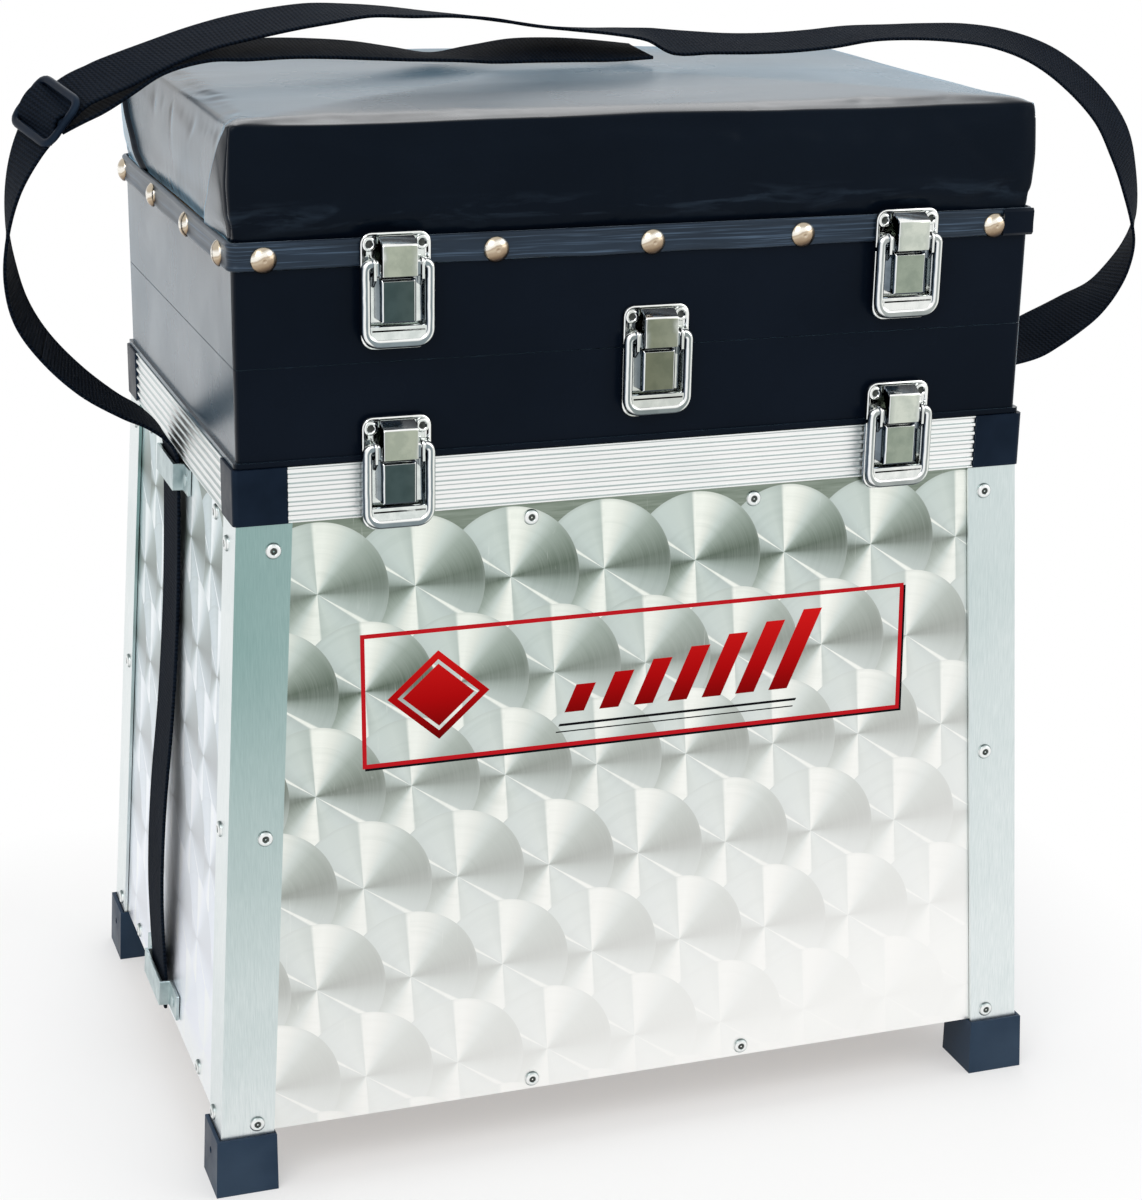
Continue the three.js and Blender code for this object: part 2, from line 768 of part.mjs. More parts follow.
// The pull: a bent rod whose ends turn in through the ears, with a crank and the claw's pin between.
function latchLever() {
  const [half, foot] = [ringHalfWidth, ringFoot];
  const bend = (radius, z, from) =>
    arc(radius - half, z, radius, from, from + Math.PI / 2, bendSteps);
  const leftSide = [
    ...bend(ringTopCorner, pivotRise - ringTopCorner, Math.PI / 2),
    ...bend(ringFootCorner, foot + ringFootCorner, Math.PI),
  ];
  const rightSide = leftSide.map(([x, z]) => [-x, z]).reverse();
  const route = [...leftSide, ...rightSide].map(([x, z]) => [x, pivotOut, z]);
  const ring = sweep(route, disc(ringRadius, ringSides));
  const stub = (x0, x1) => rod(axleRadius, x0, x1, pivotOut, pivotRise);
  const inner = half - ringTopCorner;
  const axles = [stub(-inner, -crankFace), stub(crankFace, inner)];
  const web = outline([
    ...arc(pivotOut, pivotRise, crankRadius, 0, Math.PI, lugSteps),
    ...arc(pivotOut, pinRise, crankRadius, Math.PI, 2 * Math.PI, lugSteps),
  ]);
  const cranks = [-crankFace - crankThickness, crankFace].map((x) => alongX(web, x, x + crankThickness));
  const pinEnd = crankFace + crankThickness;
  const pin = rod(pinRadius, -pinEnd, pinEnd, pivotOut, pinRise);
  const radii = [ringFootCorner, ringFootCorner, 0, 0];
  const pullShape = roundedRectangle(-half, half, foot, pullTop, radii);
  const pull = alongY(pullShape, pivotOut - pullThickness / 2, pivotOut + pullThickness / 2);
  return join(ring, ...axles, ...cranks, pin, pull);
}

// The claw: a bevelled sheet hooked over the strike's lip, with two cheeks down to the pin.
function latchClaw() {
  const inner = clawFace - clawSheet;
  const hook = outline([
    [inner, clawFoot],
    [clawFace, clawFoot],
    [clawFace, clawBrow],
    [clawTipOut + clawTipThickness, clawCrest],
    [clawTipOut, clawCrest],
    [clawTipOut, clawTipFoot],
    [clawTipOut + clawTipThickness, clawTipFoot],
    [clawTipOut + clawTipThickness, clawCrest - clawSheet - gap],
    [inner, clawBrow],
  ]);
  const cheek = outline([
    ...arc(pivotOut, pinRise, clawLugRadius, Math.PI, 1.5 * Math.PI, lugSteps),
    [inner, pinRise - clawLugRadius + clawSheet],
    [inner + clawSheet / 2, clawCheekTop],
    [inner, clawCheekTop],
  ]);
  const cheekX = [-coverHalfWidth, coverHalfWidth - clawCheekThickness];
  const cheeks = cheekX.map((x) => alongX(cheek, x, x + clawCheekThickness));
  const front = alongX(hook, -coverHalfWidth, coverHalfWidth);
  const bore = rod(pinRadius + pinClearance, -latchHalf, latchHalf, pivotOut, pinRise);
  return cut(join(front, ...cheeks), bore);
}

// Each latch: its name, place across the front, height of its slit, and the walls behind its halves.
const bandFace = halfDepth + bandThickness;
const latches = [
  ["upper_left", latchShift - latchX, lidSeam + upperLatchDrop, bandFace, halfDepth],
  ["upper_right", latchShift + latchX, lidSeam + upperLatchDrop, bandFace, halfDepth],
  ["middle", latchShift, middleSeam + middleLatchDrop, halfDepth, halfDepth],
  ["lower_left", latchShift - latchX, bodyTop + lowerLatchDrop, halfDepth, railY],
  ["lower_right", latchShift + latchX, bodyTop + lowerLatchDrop, halfDepth, railY],
];
for (const [place, x, z, strikeWall, baseWall] of latches) {
  const face = Math.max(strikeWall, baseWall) + gap;
  const latch = new THREE.Group();
  latch.position.set(x, -face, z);
  latch.rotation.z = Math.PI;
  latch.add(node(`latch_strike_${place}`, strike(face - strikeWall), chrome));
  latch.add(node(`latch_base_${place}`, latchBase(face - baseWall), chrome));
  latch.add(node(`latch_lever_${place}`, latchLever(), chrome));
  latch.add(node(`latch_claw_${place}`, latchClaw(), chrome));
  model.add(latch);
}

// Strap fittings: a strip riveted to the side wall at both ends, bridged over the webbing.
function strapFitting(tab) {
  const half = webWidth / 2 + fittingSlack;
  const low = gap + fittingThickness;
  const high = gap + fittingRoom;
  const end = half + fittingThickness + tab;
  const profile = outline([
    [-end, gap],
    [-half, gap],
    [-half, high],
    [half, high],
    [half, gap],
    [end, gap],
    [end, low],
    [half + fittingThickness, low],
    [half + fittingThickness, high + fittingThickness],
    [-half - fittingThickness, high + fittingThickness],
    [-half - fittingThickness, low],
    [-end, low],
  ]);
  const strip = upright(profile, -fittingWidth / 2, fittingWidth / 2);
  const rivetX = half + fittingThickness + tab / 2;
  const button = head(tabRivetRadius, rivetRise, fittingThickness / 2);
  return join(strip, ...[-rivetX, rivetX].map((x) => moved(button, shift(x, low, 0))));
}

const guideZ = railFoot - guideDrop;
const anchorZ = wallFoot + anchorLift;
const fittings = [
  ["strap_guide_left", -1, guideTab, guideZ],
  ["strap_guide_right", 1, guideTab, guideZ],
  ["strap_anchor_left", -1, anchorTab, anchorZ],
  ["strap_anchor_right", 1, anchorTab, anchorZ],
];
for (const [name, sx, tab, z] of fittings) {
  const seat = new THREE.Group();
  seat.position.set(sx * panelX(z), strapY, z);
  seat.rotation.z = (-sx * Math.PI) / 2;
  const fitting = node(name, strapFitting(tab), zinc);
  fitting.rotation.x = sideLean;
  seat.add(fitting);
  model.add(seat);
}

// The strap's routes, as [x, y, z] points chosen by hand along the middle of the webbing. Both ends
// run up the side wall alike, from the anchor to the guide.
const wallRoute = [
  [205.6, 8, 31],
  [204.9, 8, 46],
  [207.3, 8, 62],
  [210.5, 8, 92],
  [210.6, 8, 135],
  [207, 8, 188],
  [200.8, 8, 238],
  [194, 8, 277],
  [190.6, 8, 297],
  [190.4, 8, 307],
  [190.5, 8, 316],
  [193.6, 8, 324],
  [203, 8, 333.5],
];
const leftRoute = [
  ...wallRoute.map(([x, y, z]) => [-x, y, z]),
  [-214, 8, 339.5],
  [-232, 8, 353],
  [-248, 8, 370.5],
  [-257.5, 8, 387],
  [-261.5, 8, 405],
  [-261.5, 8, 424],
  [-258.5, 8, 443],
  [-248.7, 8, 466.4],
];
const rightRoute = [
  [195.4, 17, 503.5],
  [222, 16, 502.3],
  [246, 15, 498],
  [268, 14, 489.5],
  [289, 13, 476.5],
  [306, 12.5, 460],
  [318, 11.5, 438],
  [325.5, 10.5, 414],
  [326, 10, 397],
  [319, 9.5, 380],
  [306, 9, 366],
  [286, 8, 353],
  [264, 8, 342.6],
  [243, 8, 337],
  [222, 8, 335],
  ...wallRoute.toReversed(),
];
const topRoute = [
  [-231.6, 9, 488],
  [-228.4, 9, 491.4],
  [-223.5, 9.5, 493],
  [-215, 10.5, 494],
  [-204, 12, 496.6],
  [-188, 15, 501.2],
  [-169, 17, 507.3],
  [-150, 18, 511.7],
  [-120, 20, 516.2],
  [-92, 22, 517.6],
  [-62, 22, 516.2],
  [-32, 23, 513.3],
  [-2, 23, 509.3],
  [28, 22, 506],
  [50, 22, 503],
  [72, 22, 500.4],
  [101, 21, 499.3],
  [133, 20.5, 500],
  [165, 19, 502.8],
  [195, 17, 503.5],
];
const tailRoute = [
  [-231.6, 9, 488],
  [-228.4, 9, 491],
  [-223.5, 9.5, 491.8],
  [-215, 10.5, 490.8],
  [-204, 12, 491.6],
  [-188, 15, 495.8],
  [-169, 17, 500.2],
  [-140, 19, 501.5],
  [-112, 21, 501],
  [-83, 22, 499],
  [-53, 22, 496],
  [-30, 23, 496.8],
  [0, 23, 498],
  [26, 22, 497.4],
  [48, 22, 496.6],
];

const webSection = [
  [webThickness / 2, -webWidth / 2],
  [-webThickness / 2, -webWidth / 2],
  [-webThickness / 2, webWidth / 2],
  [webThickness / 2, webWidth / 2],
];

function webbingAlong(points) {
  const curve = new THREE.CatmullRomCurve3(points.map((p) => new THREE.Vector3(...p)));
  const route = curve.getPoints(strapStepsPerPoint * (points.length - 1));
  return sweep(route.map((p) => p.toArray()), webSection);
}

model.add(node("strap_left", webbingAlong(leftRoute), webbing));
model.add(node("strap_right", webbingAlong(rightRoute), webbing));
const strapTop = join(webbingAlong(topRoute), webbingAlong(tailRoute));
model.add(node("strap_top", strapTop, webbing));

// Slider: a frame with a middle bar, lying along the strap where the webbing turns back.
function slider() {
  const window = webWidth / 2 + fittingSlack;
  const half = window + sliderRim;
  const reach = (sliderLength - 3 * sliderBar) / 2;
  const frame = block(0, sliderLength, -half, half, -sliderThickness / 2, sliderThickness / 2);
  const openings = [sliderBar, 2 * sliderBar + reach].map((x) =>
    block(x, x + reach, -window, window, -sliderThickness, sliderThickness),
  );
  return cut(frame, ...openings);
}

const sliderPiece = node("strap_slider", slider(), blackPlastic);
const [lowEnd, highEnd] = [leftRoute.at(-1), topRoute[0]];
const sliderMiddle = [0, 1, 2].map((k) => (lowEnd[k] + highEnd[k]) / 2);
const sliderRun = Math.hypot(highEnd[0] - lowEnd[0], highEnd[2] - lowEnd[2]);
const along = [(highEnd[0] - lowEnd[0]) / sliderRun, (highEnd[2] - lowEnd[2]) / sliderRun];
const sliderStart = [0, 2].map((k, i) => sliderMiddle[k] - (along[i] * sliderLength) / 2);
sliderPiece.position.set(sliderStart[0], sliderMiddle[1], sliderStart[1]);
sliderPiece.rotation.y = -Math.atan2(along[1], along[0]);
model.add(sliderPiece);

export default model;
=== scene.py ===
"""The looks of a fishing seat box: a riveted aluminium box with two hinged trays, a padded lid, five
draw latches and a webbing shoulder strap. Metres, +Z up, the front faces -Y."""
import json
import math

import bmesh
import bpy
import numpy as np
from mathutils import Matrix, Vector, noise
from mathutils.bvhtree import BVHTree

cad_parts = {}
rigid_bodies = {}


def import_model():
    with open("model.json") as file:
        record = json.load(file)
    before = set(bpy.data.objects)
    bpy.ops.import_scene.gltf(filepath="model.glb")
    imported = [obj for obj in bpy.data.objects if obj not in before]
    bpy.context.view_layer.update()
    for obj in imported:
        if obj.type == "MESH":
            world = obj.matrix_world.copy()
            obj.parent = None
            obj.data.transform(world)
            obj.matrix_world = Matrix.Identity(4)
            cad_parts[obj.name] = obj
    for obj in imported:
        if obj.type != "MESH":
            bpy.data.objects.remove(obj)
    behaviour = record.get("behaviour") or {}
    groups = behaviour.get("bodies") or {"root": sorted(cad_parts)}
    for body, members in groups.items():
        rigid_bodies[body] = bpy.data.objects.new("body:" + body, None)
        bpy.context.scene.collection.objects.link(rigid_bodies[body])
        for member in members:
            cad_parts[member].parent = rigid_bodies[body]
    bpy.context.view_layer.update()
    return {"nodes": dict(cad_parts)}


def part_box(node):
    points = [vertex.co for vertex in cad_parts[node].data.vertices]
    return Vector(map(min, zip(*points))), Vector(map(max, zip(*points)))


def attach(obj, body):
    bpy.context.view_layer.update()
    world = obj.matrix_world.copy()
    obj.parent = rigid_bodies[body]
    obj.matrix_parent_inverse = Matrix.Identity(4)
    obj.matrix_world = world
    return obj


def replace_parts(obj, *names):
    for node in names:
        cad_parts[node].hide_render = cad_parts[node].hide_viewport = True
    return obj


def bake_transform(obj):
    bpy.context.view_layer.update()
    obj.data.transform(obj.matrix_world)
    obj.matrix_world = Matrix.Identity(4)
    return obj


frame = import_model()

MM = 0.001
node_of = frame["nodes"]

# Camera, at the photograph's place. Angles in degrees, lens in millimetres.
CAMERA_PLACE = Vector((-0.40515, -1.16058, 0.63774))
CAMERA_YAW = -19.698
CAMERA_PITCH = 18.534
CAMERA_ROLL = 1.067
CAMERA_LENS = 76.493


def with_settings(target, **settings):
    for key, value in settings.items():
        setattr(target, key, value)
    return target


def new_object(name, data):
    made = bpy.data.objects.new(name, data)
    bpy.context.scene.collection.objects.link(made)
    return made


def make_camera():
    yaw, pitch, roll = (math.radians(a) for a in (CAMERA_YAW, CAMERA_PITCH, CAMERA_ROLL))
    right = Vector((math.cos(yaw), math.sin(yaw), 0))
    forward = Vector((-math.sin(yaw) * math.cos(pitch), math.cos(yaw) * math.cos(pitch), -math.sin(pitch)))
    up = right.cross(forward)
    rolled_right = math.cos(roll) * right + math.sin(roll) * up
    rolled_up = math.cos(roll) * up - math.sin(roll) * right
    camera = new_object("camera", bpy.data.cameras.new("camera"))
    turn = Matrix((rolled_right, rolled_up, -forward)).transposed().to_4x4()
    camera.matrix_world = Matrix.Translation(CAMERA_PLACE) @ turn
    camera.data.lens = CAMERA_LENS
    bpy.context.scene.camera = camera


make_camera()

# Meshes


def mesh_of(name, points, faces, smooth=True):
    mesh = bpy.data.meshes.new(name)
    mesh.from_pydata([tuple(p) for p in points], [], faces)
    mesh.polygons.foreach_set("use_smooth", [smooth] * len(mesh.polygons))
    mesh.update()
    return mesh


def vertex_values(mesh, kind):
    """The points' places ("co") or normals ("normal"), as rows of three."""
    flat = np.zeros(len(mesh.vertices) * 3, np.float32)
    mesh.vertices.foreach_get(kind, flat)
    return flat.reshape(-1, 3).astype(float)


def set_weave(mesh, weave):
    """Coordinates along, across and through a strip, for its material."""
    attribute = mesh.attributes.new("weave", "FLOAT_VECTOR", "POINT")
    attribute.data.foreach_set("vector", np.array(weave, np.float32).ravel())


def loft(rings, cap_ends=True, closed=False):
    """Points and faces of a skin over rings with the same number of points."""
    count = len(rings[0])
    points = [p for ring in rings for p in ring]
    faces = []
    for i in range(len(rings) - (0 if closed else 1)):
        low, high = i * count, (i + 1) % len(rings) * count
        for j in range(count):
            k = (j + 1) % count
            faces.append((low + j, low + k, high + k, high + j))
    if cap_ends and not closed:
        last = (len(rings) - 1) * count
        faces.append(tuple(reversed(range(count))))
        faces.append(tuple(range(last, last + count)))
    return points, faces


def catmull_rom(points, steps):
    """A centripetal curve through the points, with that many steps between two of them."""
    p = [Vector(q) for q in points]
    p = [2 * p[0] - p[1], *p, 2 * p[-1] - p[-2]]
    line = []
    for a, b, c, d in zip(p, p[1:], p[2:], p[3:]):
        t1 = (b - a).length ** 0.5
        t2 = t1 + (c - b).length ** 0.5
        t3 = t2 + (d - c).length ** 0.5
        for i in range(steps):
            t = t1 + (t2 - t1) * i / steps
            ab = a.lerp(b, t / t1)
            bc = b.lerp(c, (t - t1) / (t2 - t1))
            cd = c.lerp(d, (t - t2) / (t3 - t2))
            abc = ab.lerp(bc, t / t2)
            bcd = bc.lerp(cd, (t - t1) / (t3 - t1))
            line.append(abc.lerp(bcd, (t - t1) / (t2 - t1)))
    return [*line, p[-2]]


SHARP_EDGE = 32  # degrees between faces that stay a crisp edge


def joined(name, parts):
    """One object of several parts, each its points in millimetres and its faces."""
    points, faces = [], []
    for part_points, part_faces in parts:
        shift = len(points)
        points += [Vector(p) * MM for p in part_points]
        faces += [tuple(i + shift for i in face) for face in part_faces]
    mesh = mesh_of(name, points, faces)
    work = bmesh.new()
    work.from_mesh(mesh)
    bmesh.ops.recalc_face_normals(work, faces=work.faces)
    work.to_mesh(mesh)
    work.free()
    mesh.set_sharp_from_angle(angle=math.radians(SHARP_EDGE))
    return new_object(name, mesh)


HALF_TURN = Matrix.Rotation(math.pi, 4, "Z")


def placed(part, matrix):
    points, faces = part
    return [matrix @ Vector(p) for p in points], faces


def rounded_rectangle(x0, x1, z0, z1, radii, inset=0.0, steps=6):
    """A rectangle drawn in by the inset. Its radii go from the low left corner round to the high left."""
    corners = ((x0, z0, 1, 1, 2), (x1, z0, -1, 1, 3), (x1, z1, -1, -1, 0), (x0, z1, 1, -1, 1))
    points = []
    for (x, z, right, up, quarter), radius in zip(corners, radii):
        round_by = max(radius - inset, 0.15)
        for i in range(steps + 1):
            angle = (quarter + i / steps) * math.pi / 2
            px = x + right * (inset + round_by) + round_by * math.cos(angle)
            pz = z + up * (inset + round_by) + round_by * math.sin(angle)
            points.append((px, pz))
    return points


def plate(outline, levels):
    """A pressed plate: at each level, how far its outline is drawn in and how far out it lies."""
    return loft([[(x, out, z) for x, z in outline(inset)] for inset, out in levels])


def with_neighbours(outline):
    """Each point of a closed outline, between the one before it and the one after it."""
    return zip(outline[-1:] + outline[:-1], outline, outline[1:] + outline[:1])


def drawn_in(outline, inset):
    """The closed outline moved inwards."""
    area = sum(a[0] * b[1] - b[0] * a[1] for _, a, b in with_neighbours(outline))
    turn = 1 if area > 0 else -1
    moved = []
    for last, here, after in with_neighbours(outline):
        first = Vector((here[0] - last[0], here[1] - last[1])).normalized()
        second = Vector((after[0] - here[0], after[1] - here[1])).normalized()
        middle = (first + second).normalized()
        moved.append((here[0] - middle.y * inset * turn, here[1] + middle.x * inset * turn))
    return moved


def eased(points, radius, steps=4):
    """The closed outline with each corner turned into a short curve."""
    smooth = []
    for last, here, after in with_neighbours(points):
        here = Vector(here)
        to_last, to_after = Vector(last) - here, Vector(after) - here
        reach = min(radius, 0.45 * to_last.length, 0.45 * to_after.length)
        start = here + to_last.normalized() * reach
        end = here + to_after.normalized() * reach
        for i in range(steps + 1):
            t = i / steps
            smooth.append(tuple(start.lerp(here, t).lerp(here.lerp(end, t), t)))
    return smooth


def bar(outline, start, end, edge):
    """A section of (out, up) points run along X, its two ends rounded off by the edge."""
    levels = [(start, edge), (start + 0.3 * edge, 0.3 * edge), (start + edge, 0)]
    levels += [(end - edge, 0), (end - 0.3 * edge, 0.3 * edge), (end, edge)]
    return loft([[(x, out, up) for out, up in drawn_in(outline, inset)] for x, inset in levels])


def turned(profile, sides=24):
    """A round head: the profile's (radius, out) points turned about the out axis."""
    angles = [2 * math.pi * i / sides for i in range(sides)]
    return loft([[(r * math.cos(a), out, r * math.sin(a)) for a in angles] for r, out in profile])


def tube(line, radii, across, sides=14, flat=1.0, closed=False):
    """A rod along the line. Across is a direction that the line never follows; flat squeezes along it."""
    rings = []
    across = Vector(across)
    for i, (point, radius) in enumerate(zip(line, radii)):
        last = line[i - 1] if closed or i else line[0]
        after = line[(i + 1) % len(line)] if closed or i + 1 < len(line) else line[-1]
        tangent = (Vector(after) - Vector(last)).normalized()
        first = (across - across.dot(tangent) * tangent).normalized()
        second = tangent.cross(first)
        angles = [2 * math.pi * k / sides for k in range(sides)]
        wide, thick = first * (radius * flat), second * radius
        rings.append([Vector(point) + wide * math.cos(a) + thick * math.sin(a) for a in angles])
    return loft(rings, closed=closed)


# Strap: its line from the left anchor over the box to the right one, and the loose tail from the
# slider. Each point is (x, y, z) in millimetres with the roll of the webbing there in degrees.

WEB_WIDTH = 35 * MM
WEB_THICKNESS = 1.6 * MM
LEFT_WALL = [
    (-205.6, 8, 31, 0), (-204.9, 8, 46, 0), (-205.3, 8, 62, 0), (-205.4, 8, 92, 0), (-202.8, 8, 135, 0),
    (-197, 8, 188, 0), (-193, 8, 238, 0), (-191.2, 8, 277, 0), (-190.6, 8, 297, 0), (-190.4, 8, 307, 0),
    (-190.5, 8, 316, 0), (-193.6, 8, 324, -1), (-203, 8, 333, -4),
]
RIGHT_WALL = [(-x, y, z, 0) for x, y, z, roll in reversed(LEFT_WALL)]
LEFT_END = LEFT_WALL + [(-214, 8, 339.5, -7), (-232, 8, 353, -13), (-248, 8, 370.5, -16)]
LEFT_LINK = [(-248, 8, 370.5, -16), (-257.5, 8, 387, -18), (-261.5, 8, 405, -15)]
LONG_STRAND = [
    (-261.5, 8, 405, -15), (-261.7, 8, 424, -7), (-258, 8, 444, 2), (-250.5, 8.2, 461.5, 12),
    (-241, 8.5, 475, 19), (-228.5, 9, 485.5, 17), (-217, 10, 490.5, 17), (-207, 12, 494.2, 17),
    (-188, 15, 501.2, 13), (-169, 17, 507.3, 11.5), (-150, 18, 511.7, 12), (-131, 20, 514.9, 11),
    (-112, 21, 517.2, 9), (-92, 22, 518.1, 3), (-72, 22, 517, 1), (-52, 23, 515.6, -3),
    (-32, 23, 513.6, -4), (-12, 23, 510.6, -3), (8, 23, 508, -4), (28, 22, 506.4, -2),
    (46, 22, 504.6, 3), (61, 22, 501, 14), (80, 22, 500.1, 11), (101, 21, 499.3, 9),
    (123, 21, 499.4, 8), (144, 20, 500.8, 7), (165, 19, 503.2, 5), (187, 18, 503.6, 5),
    (209, 17, 503.1, 8), (231, 16, 501.2, 13), (254, 15, 495.5, 21), (278, 14, 484, 32),
    (302, 13, 464.5, 40), (315, 12, 446, 46), (322, 11, 427.5, 42), (327, 10.3, 405, 34),
]
RIGHT_LINK = [(327, 10.3, 405, 34), (325.5, 10, 393, 25), (319, 9.5, 379.5, 14), (311, 9, 369.5, 6)]
RIGHT_END = [
    (311, 9, 369.5, 6), (298, 8.5, 360, -8), (286, 8, 353.3, -14), (274.5, 8, 347.5, -18),
    (264, 8, 342.6, -18), (243, 8, 337, -10), (222, 8, 335, -3),
] + RIGHT_WALL
TAIL = [
    (-238, 9, 472, 8), (-228.5, 9, 476, 6), (-220.5, 10, 479.4, 6), (-207.5, 12, 485.5, 3),
    (-190, 15, 495, 3), (-169, 17, 500.8, 6), (-150, 18, 501.4, 8), (-131, 20, 501.8, 8),
    (-112, 21, 501.2, 7.5), (-92, 22, 499.8, 6.5), (-73, 22, 497.8, 3), (-53, 22, 495.9, -1),
    (-33, 23, 496.6, 6), (-13, 23, 498, 11), (8, 23, 498, 11.5), (28, 22, 497.3, 9.5),
    (49, 22, 496.6, 4),
]
STEPS_PER_POINT = 8


def side_of(tangent, roll):
    """The direction of the webbing's width: along Y, turned by the roll about the tangent."""
    side = Vector((0, 1, 0))
    side = (side - side.dot(tangent) * tangent).normalized()
    return Matrix.Rotation(math.radians(roll), 3, tangent) @ side


def webbing_rings(route):
    """The middle line, the sections and the webbing's own coordinates along, across and through it."""
    line = catmull_rom([Vector(p[:3]) * MM for p in route], STEPS_PER_POINT)
    rolls = catmull_rom([(p[3], 0, i * 10) for i, p in enumerate(route)], STEPS_PER_POINT)
    edge_shares = [(1, 0.35), (0.975, 0.95), (0.9, 1), (0.8, 0.82), (0.4, 0.8), (0, 0.8)]
    half = [(a * WEB_WIDTH / 2, t * WEB_THICKNESS / 2) for a, t in edge_shares]
    top = half + [(-a, t) for a, t in half[-2::-1]]
    section = top + [(a, -t) for a, t in reversed(top)]
    rings, weave = [], []
    run = 0
    for i, (point, roll) in enumerate(zip(line, rolls)):
        before, after = line[max(i - 1, 0)], line[min(i + 1, len(line) - 1)]
        tangent = (after - before).normalized()
        run += (point - line[i - 1]).length if i else 0
        side = side_of(tangent, roll.x)
        out = tangent.cross(side)
        rings.append([point + side * a + out * t for a, t in section])
        weave.append([(run, a, t) for a, t in section])
    return line, rings, weave


def webbing_piece(name, line, rings, weave):
    """One length of webbing as an object, with its line and how long it is."""
    mesh = mesh_of(name, *loft(rings))
    set_weave(mesh, weave)
    length = sum((b - a).length for a, b in zip(line, line[1:]))
    return new_object(name, mesh), line, length


# Slider: where the strap runs through it, and how far outside the strap it lies
SLIDER_ON_STRAP = Vector((-240.3, 8.5, 476.2))
SLIDER_LIFT = 2.4
SLIDER_ALONG = Vector((17.1, 0.6, 21.6)).normalized()
SLIDER_ROLL = 19
SLIDER_SIDE = side_of(SLIDER_ALONG, SLIDER_ROLL)
SLIDER_OUT = SLIDER_ALONG.cross(SLIDER_SIDE)
SLIDER_HALF_LENGTH = 14
SLIDER_HALF_WIDTH = 22
SLIDER_CORNER = 6.5
SLIDER_ROD, SLIDER_BAR, SLIDER_WAIST = 2.1, 1.9, 0.9


def slider_point(along, side, out):
    on_strap = SLIDER_ON_STRAP + SLIDER_OUT * (SLIDER_LIFT + out)
    return on_strap + SLIDER_ALONG * along + SLIDER_SIDE * side


def turn_route():
    """The webbing's turn over the slider's middle bar, as (x, y, z, roll)."""
    half = [(11, -2.0), (8.5, -1.4), (5.5, 0.9), (2.6, 2.5)]
    turn = [(-along, out) for along, out in half] + [(0, 3.0)] + half[::-1]
    return [(*slider_point(along, 0, out), SLIDER_ROLL) for along, out in turn]


def make_slider():
    """A moulded frame with a slight waist, and the bar that the webbing turns over."""
    half_length, half_width = SLIDER_HALF_LENGTH - SLIDER_ROD, SLIDER_HALF_WIDTH - 2
    outline = rounded_rectangle(-half_length, half_length, -half_width, half_width, [SLIDER_CORNER] * 4)
    loop = []
    for _, (along, side), after in with_neighbours(outline):
        steps = 5 if math.dist((along, side), after) > 4 else 1
        for k in range(steps):
            t = k / steps
            a, s = along + (after[0] - along) * t, side + (after[1] - side) * t
            waist = SLIDER_WAIST * (1 - min(1, abs(a) / half_length) ** 2) * (abs(s) > half_width - 1)
            loop.append(slider_point(a, s - math.copysign(waist, s), 0))
    frame_loop = tube(loop, [SLIDER_ROD] * len(loop), SLIDER_OUT, sides=16, flat=0.78, closed=True)
    bar_line = [slider_point(0, s, 0) for s in (-half_width, 0, half_width)]
    middle = tube(bar_line, [SLIDER_BAR] * 3, SLIDER_OUT, flat=0.75)
    return joined("slider_frame", [frame_loop, middle])


STRAP_PARTS = [
    ("strap_left_end", LEFT_END), ("strap_left_link", LEFT_LINK), ("strap_long_strand", LONG_STRAND),
    ("strap_right_link", RIGHT_LINK), ("strap_right_end", RIGHT_END),
]


def make_strap():
    """The strap as the cords that its joints need, from the left anchor to the right one, and its tail."""
    whole = [STRAP_PARTS[0][1][0]] + [point for _, part in STRAP_PARTS for point in part[1:]]
    line, rings, weave = webbing_rings(whole)
    made = {}
    start = 0
    for name, part in STRAP_PARTS:
        stop = start + (len(part) - 1) * STEPS_PER_POINT
        made[name] = webbing_piece(name, line[start:stop + 1], rings[start:stop + 1], weave[start:stop + 1])
        start = stop
    left_end, left_line, left_length = made["strap_left_end"]
    right_end, right_line, right_length = made["strap_right_end"]
    top, top_line, top_length = made["strap_long_strand"]
    left_link, right_link = made["strap_left_link"][0], made["strap_right_link"][0]
    tail, tail_line, tail_length = webbing_piece("strap_tail", *webbing_rings(TAIL))
    turn, _, _ = webbing_piece("strap_turn", *webbing_rings(turn_route()))
    return left_end, left_link, top, right_link, right_end, tail, turn


strap = make_strap()


# Shader values and materials


class Number:
    """A value in a shader. Arithmetic on it adds Math nodes."""

    def __init__(self, shader, socket):
        self.shader, self.socket = shader, socket

    def to(self, operation, *others):
        return self.shader.math(operation, self, *others)

    def __add__(self, other):
        return self.to("ADD", other)

    def __sub__(self, other):
        return self.to("SUBTRACT", other)

    def __mul__(self, other):
        return self.to("MULTIPLY", other)

    def __truediv__(self, other):
        return self.to("DIVIDE", other)

    def __rsub__(self, other):
        return self.shader.math("SUBTRACT", other, self)


